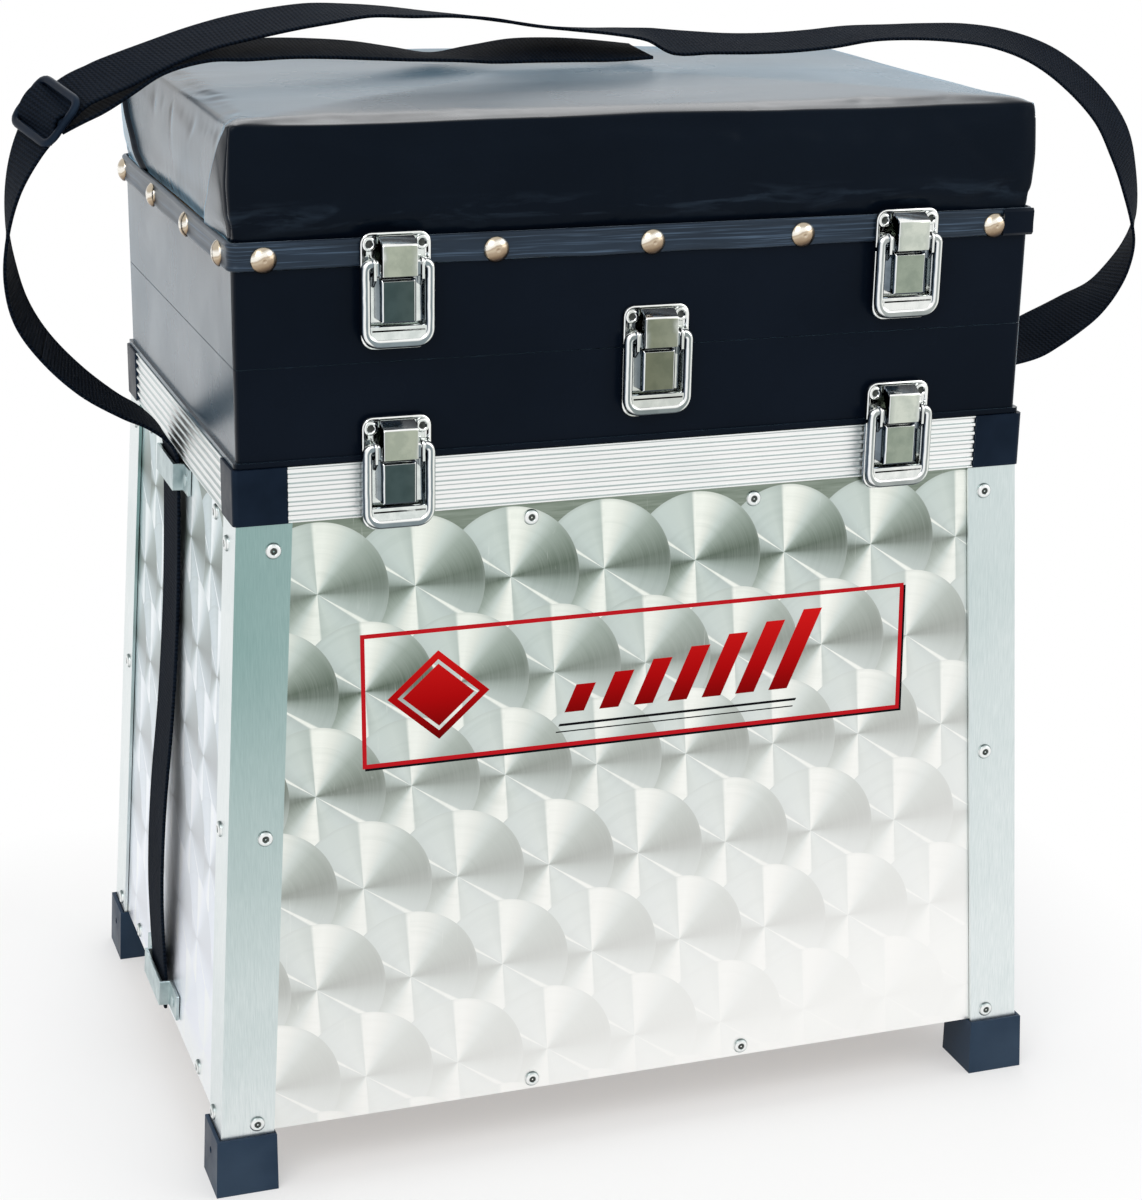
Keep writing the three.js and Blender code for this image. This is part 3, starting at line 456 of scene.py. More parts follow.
class Nodes:
    """A node tree whose nodes are added by plain calls."""

    def __init__(self, tree):
        self.tree = tree

    def node(self, kind, **settings):
        return with_settings(self.tree.nodes.new("ShaderNode" + kind), **settings)

    def feed(self, socket, value):
        if isinstance(value, Number):
            value = value.socket
        if isinstance(value, bpy.types.NodeSocket):
            self.tree.links.new(value, socket)
        else:
            socket.default_value = value

    def feed_all(self, node, **values):
        """Each value to the node's input of that name, with a space for an underscore."""
        for key, value in values.items():
            self.feed(node.inputs[key.replace("_", " ")], value)
        return node

    def math(self, operation, *values):
        made = self.node("Math", operation=operation)
        for socket, value in zip(made.inputs, values):
            self.feed(socket, value)
        return Number(self, made.outputs[0])

    def background_ray(self):
        """One for rays that show the studio to the camera, in reflections and through glass."""
        rays = self.node("LightPath").outputs
        seen = Number(self, rays["Is Camera Ray"]) + Number(self, rays["Is Glossy Ray"])
        return (seen + Number(self, rays["Is Transmission Ray"])).to("MINIMUM", 1)

    def mix_surfaces(self, share, first, second, output):
        """The second surface in place of the first by the share, as the tree's output."""
        both = self.node("MixShader")
        for socket, value in zip(both.inputs, (share, first.outputs[0], second.outputs[0])):
            self.feed(socket, value)
        self.feed(self.tree.nodes[output].inputs["Surface"], both.outputs[0])


class Shader(Nodes):
    """A material with a Principled surface."""

    def __init__(self, name, **constants):
        self.material = bpy.data.materials.new(name)
        self.material.use_nodes = True
        super().__init__(self.material.node_tree)
        self.surface = self.feed_all(self.tree.nodes["Principled BSDF"], **constants)

    def place(self):
        """Object coordinates, which are the model's own at rest."""
        return self.node("TexCoord").outputs["Object"]

    def attribute(self, name):
        return self.node("Attribute", attribute_name=name).outputs["Vector"]

    def parts(self, vector):
        made = self.node("SeparateXYZ")
        self.feed(made.inputs[0], vector)
        return [Number(self, made.outputs[i]) for i in range(3)]

    def vector(self, x, y, z):
        made = self.node("CombineXYZ")
        for socket, value in zip(made.inputs, (x, y, z)):
            self.feed(socket, value)
        return made.outputs[0]

    def normal(self):
        """The way a surface faces in the model's own coordinates, as its three parts."""
        return self.parts(self.node("TexCoord").outputs["Normal"])

    def tone(self, noise_value, dark, light, start=0.3, end=0.7):
        """Dark to light as the noise goes from the start to the end."""
        return self.mix(self.range(noise_value, 0, 1, start, end), dark, light)

    def tinted(self, share, colour, tint):
        """The colour, multiplied by the tint where the share is one."""
        return self.mix(share, colour, self.mix(1.0, colour, tint, "MULTIPLY"))

    def stretched(self, vector, x, y, z):
        return self.feed_all(self.node("Mapping"), Vector=vector, Scale=(x, y, z)).outputs[0]

    def noise(self, vector, scale, detail=3, roughness=0.5, distortion=0):
        made = self.feed_all(self.node("TexNoise"), Vector=vector, Scale=scale, Detail=detail)
        return Number(self, self.feed_all(made, Roughness=roughness, Distortion=distortion).outputs[0])

    def cells(self, vector, scale, feature="F1", output="Distance"):
        made = self.feed_all(self.node("TexVoronoi", feature=feature), Vector=vector, Scale=scale)
        return Number(self, made.outputs[output])

    def ramp(self, value, stops, interpolation="LINEAR"):
        """A colour by value. A stop is (place, grey) or (place, (r, g, b))."""
        made = self.node("ValToRGB")
        self.feed(made.inputs[0], value)
        ramp = made.color_ramp
        ramp.interpolation = interpolation
        while len(ramp.elements) > 1:
            ramp.elements.remove(ramp.elements[-1])
        for i, (place, colour) in enumerate(stops):
            element = ramp.elements[0] if i == 0 else ramp.elements.new(place)
            element.position = place
            element.color = (*colour, 1) if hasattr(colour, "__len__") else (colour,) * 3 + (1,)
        return made.outputs[0]

    def mix(self, share, a, b, blend="MIX"):
        made = self.node("Mix", data_type="RGBA", blend_type=blend)
        self.feed(made.inputs["Factor"], share)
        for socket, value in ((made.inputs[6], a), (made.inputs[7], b)):
            if isinstance(value, tuple) and len(value) == 3:
                value = (*value, 1)
            self.feed(socket, value)
        return made.outputs[2]

    def bump(self, height, distance, strength=1.0, normal=None):
        made = self.feed_all(self.node("Bump"), Strength=strength, Distance=distance, Height=height)
        if normal is not None:
            self.feed(made.inputs["Normal"], normal)
        return made.outputs[0]

    def range(self, value, low, high, start=0, end=1):
        """The value spread from start..end to low..high."""
        made = self.node("MapRange")
        self.feed(made.inputs[0], value)
        for socket, number in zip(made.inputs[1:5], (start, end, low, high)):
            socket.default_value = number
        return Number(self, made.outputs[0])

    def finish(self, **sockets):
        self.feed_all(self.surface, **sockets)
        return self.material


# Engine turning: overlapping discs of circular brushing in rows, each disc's bright and dark sectors painted
# in as highlights and reflections
DISC_RADIUS = 32.5 * MM
DISC_PITCH = 44.6 * MM
ROW_PITCH = 47 * MM
TOP_ROW = 283 * MM
ROW_JITTER = 5 * MM
ROW_SHIFT = -19 * MM

# The printed label: its edges, and a plain design of a framed diamond and rising slanted bars
LABEL_X = (-134 * MM, 133 * MM)
LABEL_Z = (199.5 * MM, 262.5 * MM)
LABEL_LINE = 2 * MM
LABEL_SHADOW = 1.1 * MM
DIAMOND_X, DIAMOND_Z = -98 * MM, 231 * MM
DIAMOND_HALF = (24 * MM, 21 * MM)
DIAMOND_GAP = (0.7, 0.8)
BAR_COUNT = 7
BAR_PITCH, BAR_SHARE = 17 * MM, 0.56
BARS_START = -38 * MM
BARS_FOOT = 216 * MM
BARS_SLANT = 0.45
FIRST_BAR_TOP, BAR_RISE = 229 * MM, 4.2 * MM
UNDERLINES = ((209.5 * MM, 210.7 * MM), (206.5 * MM, 207.1 * MM))
INK_FADE = (208 * MM, 256 * MM)


def printed_label(s, x, z):
    """How much ink lies at a place on the front, and its colour."""

    def inside(value, low, high):
        return value.to("GREATER_THAN", low) * value.to("LESS_THAN", high)

    def box(x0, x1, z0, z1):
        return inside(x, x0, x1) * inside(z, z0, z1)

    (x0, x1), (z0, z1) = LABEL_X, LABEL_Z
    line, shade = LABEL_LINE, LABEL_SHADOW
    whole = box(x0, x1, z0, z1)
    frame_line = whole * (1 - box(x0 + line, x1 - line, z0 + line, z1 - line))
    shadow = box(x0 + shade, x1 + shade, z0 - shade, z1 - shade) * (1 - whole)
    across, up = (x - DIAMOND_X).to("ABSOLUTE"), (z - DIAMOND_Z).to("ABSOLUTE")
    reach = across / DIAMOND_HALF[0] + up / DIAMOND_HALF[1]
    diamond = reach.to("LESS_THAN", 1) * (1 - inside(reach, *DIAMOND_GAP))
    slanted = x - (z - BARS_FOOT) * BARS_SLANT - BARS_START
    share = slanted / BAR_PITCH
    count = share.to("FLOOR")
    bars = inside(count, -0.5, BAR_COUNT - 0.5) * share.to("FRACT").to("LESS_THAN", BAR_SHARE)
    below_top = (count * BAR_RISE + FIRST_BAR_TOP - z).to("GREATER_THAN", 0)
    bars = bars * z.to("GREATER_THAN", BARS_FOOT) * below_top
    thick_line, thin_line = (inside(z, *edges) for edges in UNDERLINES)
    underline = inside(slanted, 0, BAR_COUNT * BAR_PITCH) * (thick_line + thin_line)
    red_ink = frame_line.to("MAXIMUM", diamond).to("MAXIMUM", bars)
    black_ink = shadow.to("MAXIMUM", underline)
    reds = [(0, (0.1, 0.002, 0.002)), (0.45, (0.42, 0.004, 0.005)), (1, (0.66, 0.012, 0.012))]
    red = s.ramp(s.range(z, 0, 1, *INK_FADE), reds)
    red = s.mix(frame_line, red, (0.52, 0.012, 0.018))
    return red_ink.to("MAXIMUM", black_ink), s.mix(red_ink, (0.006, 0.006, 0.008), red)


def turned_aluminium(name, axis, sign):
    """Discs laid out along X (axis 0) or Y (axis 1) and Z, read from outside by the sign."""
    s = Shader(name, Metallic=1.0)
    place = s.parts(s.place())
    across, up = place[axis] * sign, place[2]
    low_row = ((up - DISC_RADIUS - TOP_ROW) / ROW_PITCH).to("CEIL")

    def disc(row):
        rise = up - TOP_ROW - row * ROW_PITCH
        reach = (DISC_RADIUS**2 - rise * rise).to("MAXIMUM", 0).to("SQRT")
        odd = row.to("FLOORED_MODULO", 2) * (DISC_PITCH / 2)
        shift = odd + (row * 12.9).to("SINE") * ROW_JITTER + ROW_SHIFT
        column = ((across - reach - shift) / DISC_PITCH).to("CEIL")
        aside = across - shift - column * DISC_PITCH
        hit = (aside + reach).to("GREATER_THAN", 0) * row.to("LESS_THAN", 0.5)
        return aside, rise, hit, column + row * 31.7

    aside_low, rise_low, hit_low, id_low = disc(low_row)
    aside_high, rise_high, hit_high, id_high = disc(low_row + 1)

    def pick(low, high):
        return low * hit_low + high * (1 - hit_low)

    aside, rise, mark = pick(aside_low, aside_high), pick(rise_low, rise_high), pick(id_low, id_high)
    on_disc = hit_low.to("MAXIMUM", hit_high)
    radius = (aside * aside + rise * rise).to("SQRT")
    turn = (aside.to("ARCTAN2", rise) / math.pi + 1).to("FRACT")
    # Painted highlights and reflections: each disc goes round from a white highlight through a dark reflected
    # wedge, by the angle about its centre
    white, pale, dark = (0.97, 0.96, 0.92), (0.62, 0.67, 0.65), (0.12, 0.15, 0.12)
    painted_disc_sheen = s.ramp(turn, [
        (0, white), (0.04, white), (0.1, (0.85, 0.85, 0.81)), (0.18, pale), (0.26, (0.36, 0.41, 0.375)),
        (0.36, (0.22, 0.26, 0.225)), (0.44, dark), (0.5, (0.15, 0.18, 0.155)),
        (0.55, (0.3, 0.345, 0.32)), (0.62, (0.44, 0.49, 0.475)), (0.676, (0.5, 0.55, 0.54)),
        (0.686, white), (0.7, white), (0.712, (0.52, 0.57, 0.565)), (0.8, (0.6, 0.655, 0.645)),
        (0.9, pale), (0.975, (0.52, 0.57, 0.55)), (0.99, white),
    ])
    grooves = s.noise(s.vector(radius * 1400, turn * 1.5, mark * 3.1), 1, 2, 0.6)
    wide_rings = s.noise(s.vector(radius * 260, turn * 0.8, mark * 5.3), 1, 2, 0.5)
    own = s.noise(s.vector(mark * 7.7, mark * 1.3, 0.5), 1, 0)
    disc_tone_and_sheen = s.mix(s.range(grooves, 0.0, 0.13, 0.35, 0.75), painted_disc_sheen, (0.6, 0.635, 0.615))
    disc_tone_and_sheen = s.tinted(s.range(wide_rings, 0.0, 0.5, 0.5, 0.8), disc_tone_and_sheen, (0.78, 0.81, 0.79))
    disc_tone_and_sheen = s.mix(s.range(own, 0.0, 0.14, 0.35, 0.65), disc_tone_and_sheen, pale)
    rim = s.range(radius, 0, 0.3, DISC_RADIUS * 0.95, DISC_RADIUS)
    disc_tone_and_sheen = s.mix(rim, disc_tone_and_sheen, (0.42, 0.45, 0.43))
    flat_noise = s.noise(s.stretched(s.place(), 60, 60, 900), 1, 2)
    plain = s.tone(flat_noise, (0.2, 0.235, 0.195), (0.29, 0.325, 0.285))
    colour = s.mix(on_disc, plain, disc_tone_and_sheen)
    scratch = s.noise(s.stretched(s.place(), 300, 300, 18), 1, 4, 0.7, 1.5)
    colour = s.mix(s.range(scratch, 0, 0.5, 0.66, 0.8), colour, (0.9, 0.9, 0.88))
    # Painted reflection and shade: each wall is darker and more contrasty towards the top and the left, and
    # paler towards the foot
    shade = s.range(up - across * 0.3, 0, 1, 0.0, 0.33)
    colour = s.tinted(shade, colour, (0.97, 1.02, 0.98))
    colour = s.mix(s.range(shade, 0.95, 0.0, 0.05, 0.8), colour, (0.99, 0.985, 0.965))
    # Painted reflection: the side walls take a bluish tint
    if axis:
        colour = s.mix(1.0, colour, (0.99, 1.02, 1.12), "MULTIPLY")
    if name == "turned_front":
        print_share, print_colour = printed_label(s, place[0], up)
        colour = s.mix(print_share, colour, print_colour)
    height = s.bump(grooves, 0.02 * MM, 0.6)
    return s.finish(Base_Color=colour, Roughness=s.range(grooves, 0.26, 0.42), Normal=height)


def plain_aluminium(name, along, dark, light, front_left=None):
    """Extruded aluminium, with fine die lines along one axis. A last tone, if given, is painted shade on the
    front faces at the left, fading towards the foot.
    """
    s = Shader(name, Metallic=1.0)
    scales = [2600, 2600, 2600]
    scales[along] = 14
    lines = s.noise(s.stretched(s.place(), *scales), 1, 3, 0.6)
    cloud = s.noise(s.place(), 22, 3)
    colour = s.tinted(s.range(cloud, 0, 0.22, 0.45, 0.7), s.tone(lines, dark, light), (0.78, 0.84, 0.84))
    facing_x, facing_y, facing_z = s.normal()
    # Painted shade on the front faces at the left
    if front_left:
        x, _, z = s.parts(s.place())
        share = s.range(facing_y, 1, 0, -0.9, -0.5) * s.range(x, 1, 0.3, -0.19, 0.19)
        colour = s.tinted(share * s.range(z, 0.05, 1, 0.03, 0.26), colour, front_left)
    # Painted shade: faces that look up or down take a darker tint
    colour = s.tinted(s.range(facing_z.to("ABSOLUTE"), 0, 1, 0.2, 0.6), colour, (0.62, 0.68, 0.68))
    if name == "rivet":
        # Painted shade: a dark edge where the rivet heads' rims turn up or down
        rim = s.range(facing_x.to("ABSOLUTE").to("MAXIMUM", facing_y.to("ABSOLUTE")), 1, 0, 0.5, 0.88)
        colour = s.mix(rim, colour, (0.13, 0.16, 0.16))
    height = s.bump(lines, 0.015 * MM, 0.5, s.bump(cloud, 0.3 * MM, 0.3))
    return s.finish(Base_Color=colour, Roughness=s.range(cloud, 0.27, 0.44), Normal=height)


# The painted highlights on the gathers round the cushion: the height of their middle, and how far they reach
# from it
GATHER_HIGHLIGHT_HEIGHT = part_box("cushion")[0].z + 13 * MM
GATHER_HIGHLIGHT_REACH = 8 * MM


def vinyl(name, dark, light, grain, wave):
    """Leathercloth: a fine pebble and slow waves, in mm, faint scuffs, and a polish worn off the front."""
    s = Shader(name, Specular_IOR_Level=0.06, Specular_Tint=(0.72, 0.88, 1, 1), Sheen_Weight=0.92,
               Sheen_Roughness=0.2, Sheen_Tint=(0.42, 0.74, 1, 1), Coat_IOR=1.55, Coat_Roughness=0.2)
    place = s.parts(s.place())
    normal = s.normal()
    pebble = s.cells(s.place(), 1 / (grain * MM), "SMOOTH_F1")
    cloud = s.noise(s.place(), 11, 4, 0.55)
    scuff = s.noise(s.stretched(s.place(), 45, 45, 300), 1, 5, 0.65, 1.2)
    drag = s.noise(s.stretched(s.place(), 5, 16, 16), 1, 4, 0.5, 0.6)
    colour = s.tone(cloud, dark, light)
    colour = s.mix(s.range(scuff, 0, 0.12, 0.68, 0.8), colour, tuple(c * 3 + 0.01 for c in light))
    slow = s.bump(cloud, wave * MM, 0.6)
    fine = s.bump(pebble, 0.03 * MM, 0.35, slow)
    polish = s.range(normal[1].to("ABSOLUTE"), 0.78, 0.02, 0.3, 0.85) * s.range(drag, 0.72, 1, 0.3, 0.6)
    worn_rear = s.range(place[1] + (drag - 0.5) * 0.12, 0.9, 0.45, 0.0, 0.1)
    top = s.range(normal[2], 0, 1, 0.4, 0.8)
    polish = polish * (1 - top * (1 - worn_rear))
    if name == "cushion_vinyl":
        # Painted highlights: lighter streaks on the gathers just above the band
        gather_highlights = s.noise(s.stretched(s.place(), 26, 26, 150), 1, 4, 0.6, 0.8)
        near_band = s.range((place[2] - GATHER_HIGHLIGHT_HEIGHT).to("ABSOLUTE"), 1, 0, 0, GATHER_HIGHLIGHT_REACH)
        colour = s.mix(near_band * s.range(gather_highlights, 0, 1, 0.5, 0.66), colour, (0.013, 0.021, 0.033))
    rough = s.range(cloud, 0.24, 0.31, 0.3, 0.7)
    return s.finish(Base_Color=colour, Roughness=rough, Normal=fine, Coat_Weight=polish)


def band_vinyl():
    """The trim band: a stiffer strip with ridges and lengthwise streaks."""
    s = Shader("band_vinyl", Specular_IOR_Level=0.35, Specular_Tint=(0.72, 0.88, 1, 1), Sheen_Weight=0.25,
               Sheen_Roughness=0.3, Sheen_Tint=(0.7, 0.86, 1, 1))
    run, rise, _ = s.parts(s.attribute("weave"))
    streak = s.noise(s.vector(run * 14, rise * 900, 0.0), 1, 4, 0.6)
    cloud = s.noise(s.vector(run * 25, rise * 120, 3.0), 1, 3)
    colour = s.tone(cloud, (0.005, 0.01, 0.02), (0.012, 0.022, 0.04))
    colour = s.mix(s.range(streak, 0, 0.85, 0.52, 0.7), colour, (0.09, 0.14, 0.21))
    height = s.bump(streak, 0.12 * MM, 0.5)
    return s.finish(Base_Color=colour, Roughness=s.range(streak, 0.26, 0.42), Normal=height)


def black_plastic(name, dark, light, edge_tone):
    """Moulded plastic with a fine pebble, paler where its edges are worn."""
    s = Shader(name, Specular_IOR_Level=0.09, Specular_Tint=(0.55, 0.8, 1, 1))
    pebble = s.noise(s.place(), 1900, 3, 0.6)
    cloud = s.noise(s.place(), 60, 3)
    edge = Number(s, s.node("NewGeometry").outputs["Pointiness"])
    colour = s.tone(cloud, dark, light, 0.35, 0.65)
    colour = s.mix(s.range(edge, 0, 0.5, 0.52, 0.58), colour, edge_tone)
    rough = s.range(cloud, 0.3, 0.46, 0.3, 0.7)
    return s.finish(Base_Color=colour, Roughness=rough, Normal=s.bump(pebble, 0.05 * MM, 0.5))


def chrome(name, front_reflections, lift=0.0):
    """Bright plating with its light painted in: painted reflections by the way it faces, a painted highlight
    where it looks up and painted shade where it looks down. The tones given are the painted reflections on
    its front from left to right.
    """
    s = Shader(name, Metallic=1.0)
    sideways, _, upward = s.normal()
    x, _, z = s.parts(s.place())
    cloud = s.noise(s.place(), 150, 3)
    spots = s.noise(s.place(), 900, 4, 0.7)
    aside = sideways * 0.5 + 0.5 + (cloud - 0.5) * 0.1
    painted_wall_reflections = s.ramp(aside, [
        (0, (0.16, 0.2, 0.25)), (0.05, (0.035, 0.055, 0.085)), (0.14, (0.05, 0.08, 0.12)),
        (0.18, (0.8, 0.83, 0.84)), (0.36, (0.94, 0.95, 0.93)), (0.41, (0.3, 0.34, 0.33)),
        (0.47, (0.1, 0.125, 0.125)), (0.56, (0.14, 0.17, 0.16)), (0.61, (0.72, 0.75, 0.71)),
        (0.78, (0.93, 0.94, 0.9)), (0.86, (0.3, 0.34, 0.34)), (0.93, (0.05, 0.07, 0.09)),
        (1, (0.25, 0.29, 0.32)),
    ])
    front = s.ramp(s.range(x + (z - 0.35) * 0.06, 0, 1, -0.13, 0.13), list(zip((0.05, 0.5, 0.95), front_reflections)))
    front = s.tinted(s.range(cloud, 0, 0.45, 0.42, 0.62), front, (0.62, 0.66, 0.66))
    flat = s.range((aside - 0.5).to("ABSOLUTE"), 1, 0, 0.07, 0.13)
    colour = s.mix(flat, painted_wall_reflections, front)
    # Painted highlight on faces that look up, painted shade on faces that look down
    colour = s.mix(s.range(upward, 0, 1, 0.28, 0.5), colour, (0.95, 0.96, 0.94))
    colour = s.mix(s.range(upward, 1, 0, -0.62, -0.4), colour, (0.05, 0.065, 0.085))
    colour = s.mix(lift, colour, (0.93, 0.94, 0.92))
    colour = s.mix(s.range(spots, 0, 0.3, 0.7, 0.8), colour, (0.42, 0.42, 0.39))
    return s.finish(Base_Color=colour, Roughness=s.range(spots, 0.07, 0.18, 0.4, 0.8),
                    Normal=s.bump(cloud, 0.1 * MM, 0.3))


def nickel():
    """Champagne plating of the dome nails, its light painted in: a painted highlight above, painted brown
    shade below, and a pale painted highlight round the rim.
    """
    s = Shader("nail_nickel", Metallic=1.0)
    sideways, outward, upward = s.normal()
    cloud = s.noise(s.place(), 260, 3)
    # Painted highlight above and painted shade below, by the way each face looks
    lit = upward * 0.8 + 0.5 - sideways * 0.3 + (cloud - 0.5) * 0.2
    colour = s.ramp(lit, [
        (0.0, (0.06, 0.04, 0.03)), (0.2, (0.2, 0.14, 0.09)), (0.34, (0.36, 0.27, 0.18)),
        (0.46, (0.44, 0.34, 0.24)), (0.56, (0.6, 0.5, 0.37)), (0.64, (0.5, 0.4, 0.29)),
        (0.72, (0.93, 0.88, 0.78)), (0.86, (0.95, 0.92, 0.85)), (1, (0.5, 0.43, 0.33)),
    ])
    # Painted highlight: a pale rim
    rim = s.range(outward.to("ABSOLUTE") + sideways.to("ABSOLUTE") * 0.6, 1, 0, 0.3, 0.5)
    colour = s.mix(rim * 0.75, colour, (0.9, 0.85, 0.76))
    height = s.bump(cloud, 0.08 * MM, 0.4)
    return s.finish(Base_Color=colour, Roughness=s.range(cloud, 0.16, 0.3), Normal=height)


def dark_hollow():
    """Painted shade: a dark surface in the hollow of a rivet, in place of the hollow's shadow."""
    s = Shader("dark_hollow", Specular_IOR_Level=0.2)
    cloud = s.noise(s.place(), 700, 3)
    colour = s.tone(cloud, (0.02, 0.024, 0.022), (0.09, 0.1, 0.09))
    height = s.bump(cloud, 0.05 * MM, 0.4)
    return s.finish(Base_Color=colour, Roughness=s.range(cloud, 0.35, 0.6), Normal=height)


def zinc():
    """Zinc plating with a faint spangle, on the hinges and the strap's fittings."""
    s = Shader("zinc_plate", Metallic=1.0)
    spangle = s.cells(s.place(), 420, "F1", "Color")
    cloud = s.noise(s.place(), 120, 4)
    colour = s.tone(cloud, (0.36, 0.45, 0.46), (0.62, 0.71, 0.71))
    colour = s.mix(s.range(spangle, 0, 0.25), colour, (0.46, 0.55, 0.57))
    height = s.bump(cloud, 0.08 * MM, 0.5)
    return s.finish(Base_Color=colour, Roughness=s.range(cloud, 0.28, 0.45), Normal=height)


def plywood():
    s = Shader("plywood", Specular_IOR_Level=0.3)
    grain = s.noise(s.stretched(s.place(), 9, 160, 160), 1, 4, 0.6, 0.8)
    pores = s.noise(s.stretched(s.place(), 60, 1400, 1400), 1, 2)
    colour = s.ramp(grain, [(0.3, (0.24, 0.145, 0.07)), (0.5, (0.4, 0.26, 0.14)), (0.7, (0.5, 0.345, 0.2))])
    colour = s.mix(s.range(pores, 0, 0.5, 0.6, 0.8), colour, (0.16, 0.09, 0.045))
    height = s.bump(pores, 0.08 * MM, 0.5)
    return s.finish(Base_Color=colour, Roughness=s.range(grain, 0.5, 0.72), Normal=height)


RIB_PITCH = 2.1 * MM
YARN_PITCH = 1.4 * MM


def webbing_cloth():
    """Ribs across the webbing, each made of yarns that lie side by side."""
    s = Shader("webbing", Specular_IOR_Level=0.04, Specular_Tint=(0.6, 0.8, 1, 1))
    run, aside, _ = s.parts(s.attribute("weave"))
    rib = (run * (2 * math.pi / RIB_PITCH) + (aside * (math.pi / YARN_PITCH)).to("SINE") * 0.9).to("SINE")
    yarn = (aside * (2 * math.pi / YARN_PITCH)).to("SINE").to("ABSOLUTE")
    height = rib * 0.5 + yarn * 0.35
    fuzz = s.noise(s.vector(run * 2500, aside * 2500, 0.0), 1, 2)
    slow = s.noise(s.vector(run * 30, aside * 60, 0.0), 1, 3)
    # Painted shade: darker in the hollows between ribs and yarns, lighter on their crests
    colour = s.mix(s.range(height, 0, 1, -0.4, 0.8), (0.0006, 0.0012, 0.0026), (0.007, 0.0115, 0.021))
    colour = s.mix(s.range(slow, 0, 0.5, 0.45, 0.8), colour, (0.008, 0.013, 0.022))
    colour = s.mix(s.range(fuzz, 0, 0.3, 0.5, 0.8), colour, (0.013, 0.02, 0.032))
    bump = s.bump(height, 0.32 * MM, 0.9)
    return s.finish(Base_Color=colour, Roughness=s.range(fuzz, 0.6, 0.85), Normal=bump)


# Each wall's discs: the axis along it, and the way in which that axis reads from outside
WALLS = {"front": (0, 1), "back": (0, -1), "left": (1, -1), "right": (1, 1)}
# The corner caps' plastic, with its edge tone, is a darker copy of the feet's: painted shade on the caps. The
# slider wears the caps' copy too.
CAP_EDGE, FOOT_EDGE = (0.03, 0.05, 0.08), (0.06, 0.09, 0.13)
MATERIALS = {
    **{f"turned_{wall}": turned_aluminium(f"turned_{wall}", *reading) for wall, reading in WALLS.items()},
    # The side rails take darker tones than the front and back rails: painted shade on the sides
    "rail_x": plain_aluminium("rail_x", 0, (0.9, 0.905, 0.895), (0.99, 0.985, 0.97)),
    "rail_y": plain_aluminium("rail_y", 1, (0.84, 0.855, 0.85), (0.96, 0.965, 0.96)),
    "post": plain_aluminium("post", 2, (0.74, 0.8, 0.8), (0.88, 0.92, 0.92), (0.35, 0.5, 0.48)),
    "rivet": plain_aluminium("rivet", 2, (0.86, 0.88, 0.87), (0.95, 0.96, 0.95)),
    "tray_vinyl": vinyl("tray_vinyl", (0.0018, 0.004, 0.009), (0.0035, 0.0065, 0.0135), 0.75, 1.0),
    "cushion_vinyl": vinyl("cushion_vinyl", (0.0016, 0.0036, 0.008), (0.003, 0.006, 0.012), 0.9, 0.9),
    "band_vinyl": band_vinyl(),
    "cap_plastic": black_plastic("cap_plastic", (0.002, 0.005, 0.013), (0.005, 0.01, 0.022), CAP_EDGE),
    "foot_plastic": black_plastic("foot_plastic", (0.008, 0.019, 0.043), (0.016, 0.032, 0.062), FOOT_EDGE),
    "chrome_plate": chrome("chrome_plate", ((0.74, 0.79, 0.76), (0.62, 0.65, 0.6), (0.84, 0.86, 0.83)), 0.1),
    "chrome_wire": chrome("chrome_wire", ((0.2, 0.25, 0.27), (0.2, 0.24, 0.24), (0.35, 0.38, 0.37)), 0.04),
    "chrome_claw": chrome("chrome_claw", ((0.42, 0.46, 0.37), (0.23, 0.25, 0.18), (0.62, 0.66, 0.58))),
    "chrome_cover": chrome("chrome_cover", ((0.055, 0.085, 0.085), (0.16, 0.175, 0.12), (0.31, 0.36, 0.29))),
    "nickel": nickel(),
    "dark_hollow": dark_hollow(),
    "zinc": zinc(),
    "board": plywood(),
    "webbing": webbing_cloth(),
}


def dress(piece, material, body=None):
    """The piece with its material, riding on the body if one is given."""
    piece.data.materials.clear()
    piece.data.materials.append(MATERIALS[material])
    if body:
        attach(piece, body)
    return piece


# The CAD nodes that keep their shape, by the start of their names: material, slot, roundness of the edges
NODE_FINISHES = {
    **{f"{wall}_panel": (f"turned_{wall}", "turned_aluminium", 0) for wall in WALLS},
    "floor_panel": ("board", "board", 0),
    "corner_post": ("post", "plain_aluminium", 0.45 * MM),
    "corner_cap": ("cap_plastic", "black_plastic", 0.6 * MM),
    "foot": ("foot_plastic", "black_plastic", 1.3 * MM),
    "lid_board": ("board", "board", 0.5 * MM),
    "cushion": ("cushion_vinyl", "cushion_vinyl", 0),
    **{f"rail_{wall}": ("rail_x", "plain_aluminium", 0.25 * MM) for wall in ("front", "back")},
    **{f"rail_{wall}": ("rail_y", "plain_aluminium", 0.25 * MM) for wall in ("left", "right")},
    **{f"{level}_tray": ("tray_vinyl", "tray_vinyl", 0.8 * MM) for level in ("lower", "upper")},
    **{f"lower_tray_{side}_leaf": ("zinc", "zinc", 0.25 * MM) for side in ("bottom", "top")},
    **{f"upper_tray_{side}_leaf": ("zinc", "zinc", 0.25 * MM) for side in ("bottom", "top")},
    **{f"{part}_hinge_leaf": ("zinc", "zinc", 0.25 * MM) for part in ("box", "lid")},
    **{f"strap_{part}": ("zinc", "zinc", 0.4 * MM) for part in ("guide", "anchor")},
}
SHARP_ANGLE = 30  # degrees between faces from which an edge is rounded
WELD_REACH = 0.002 * MM


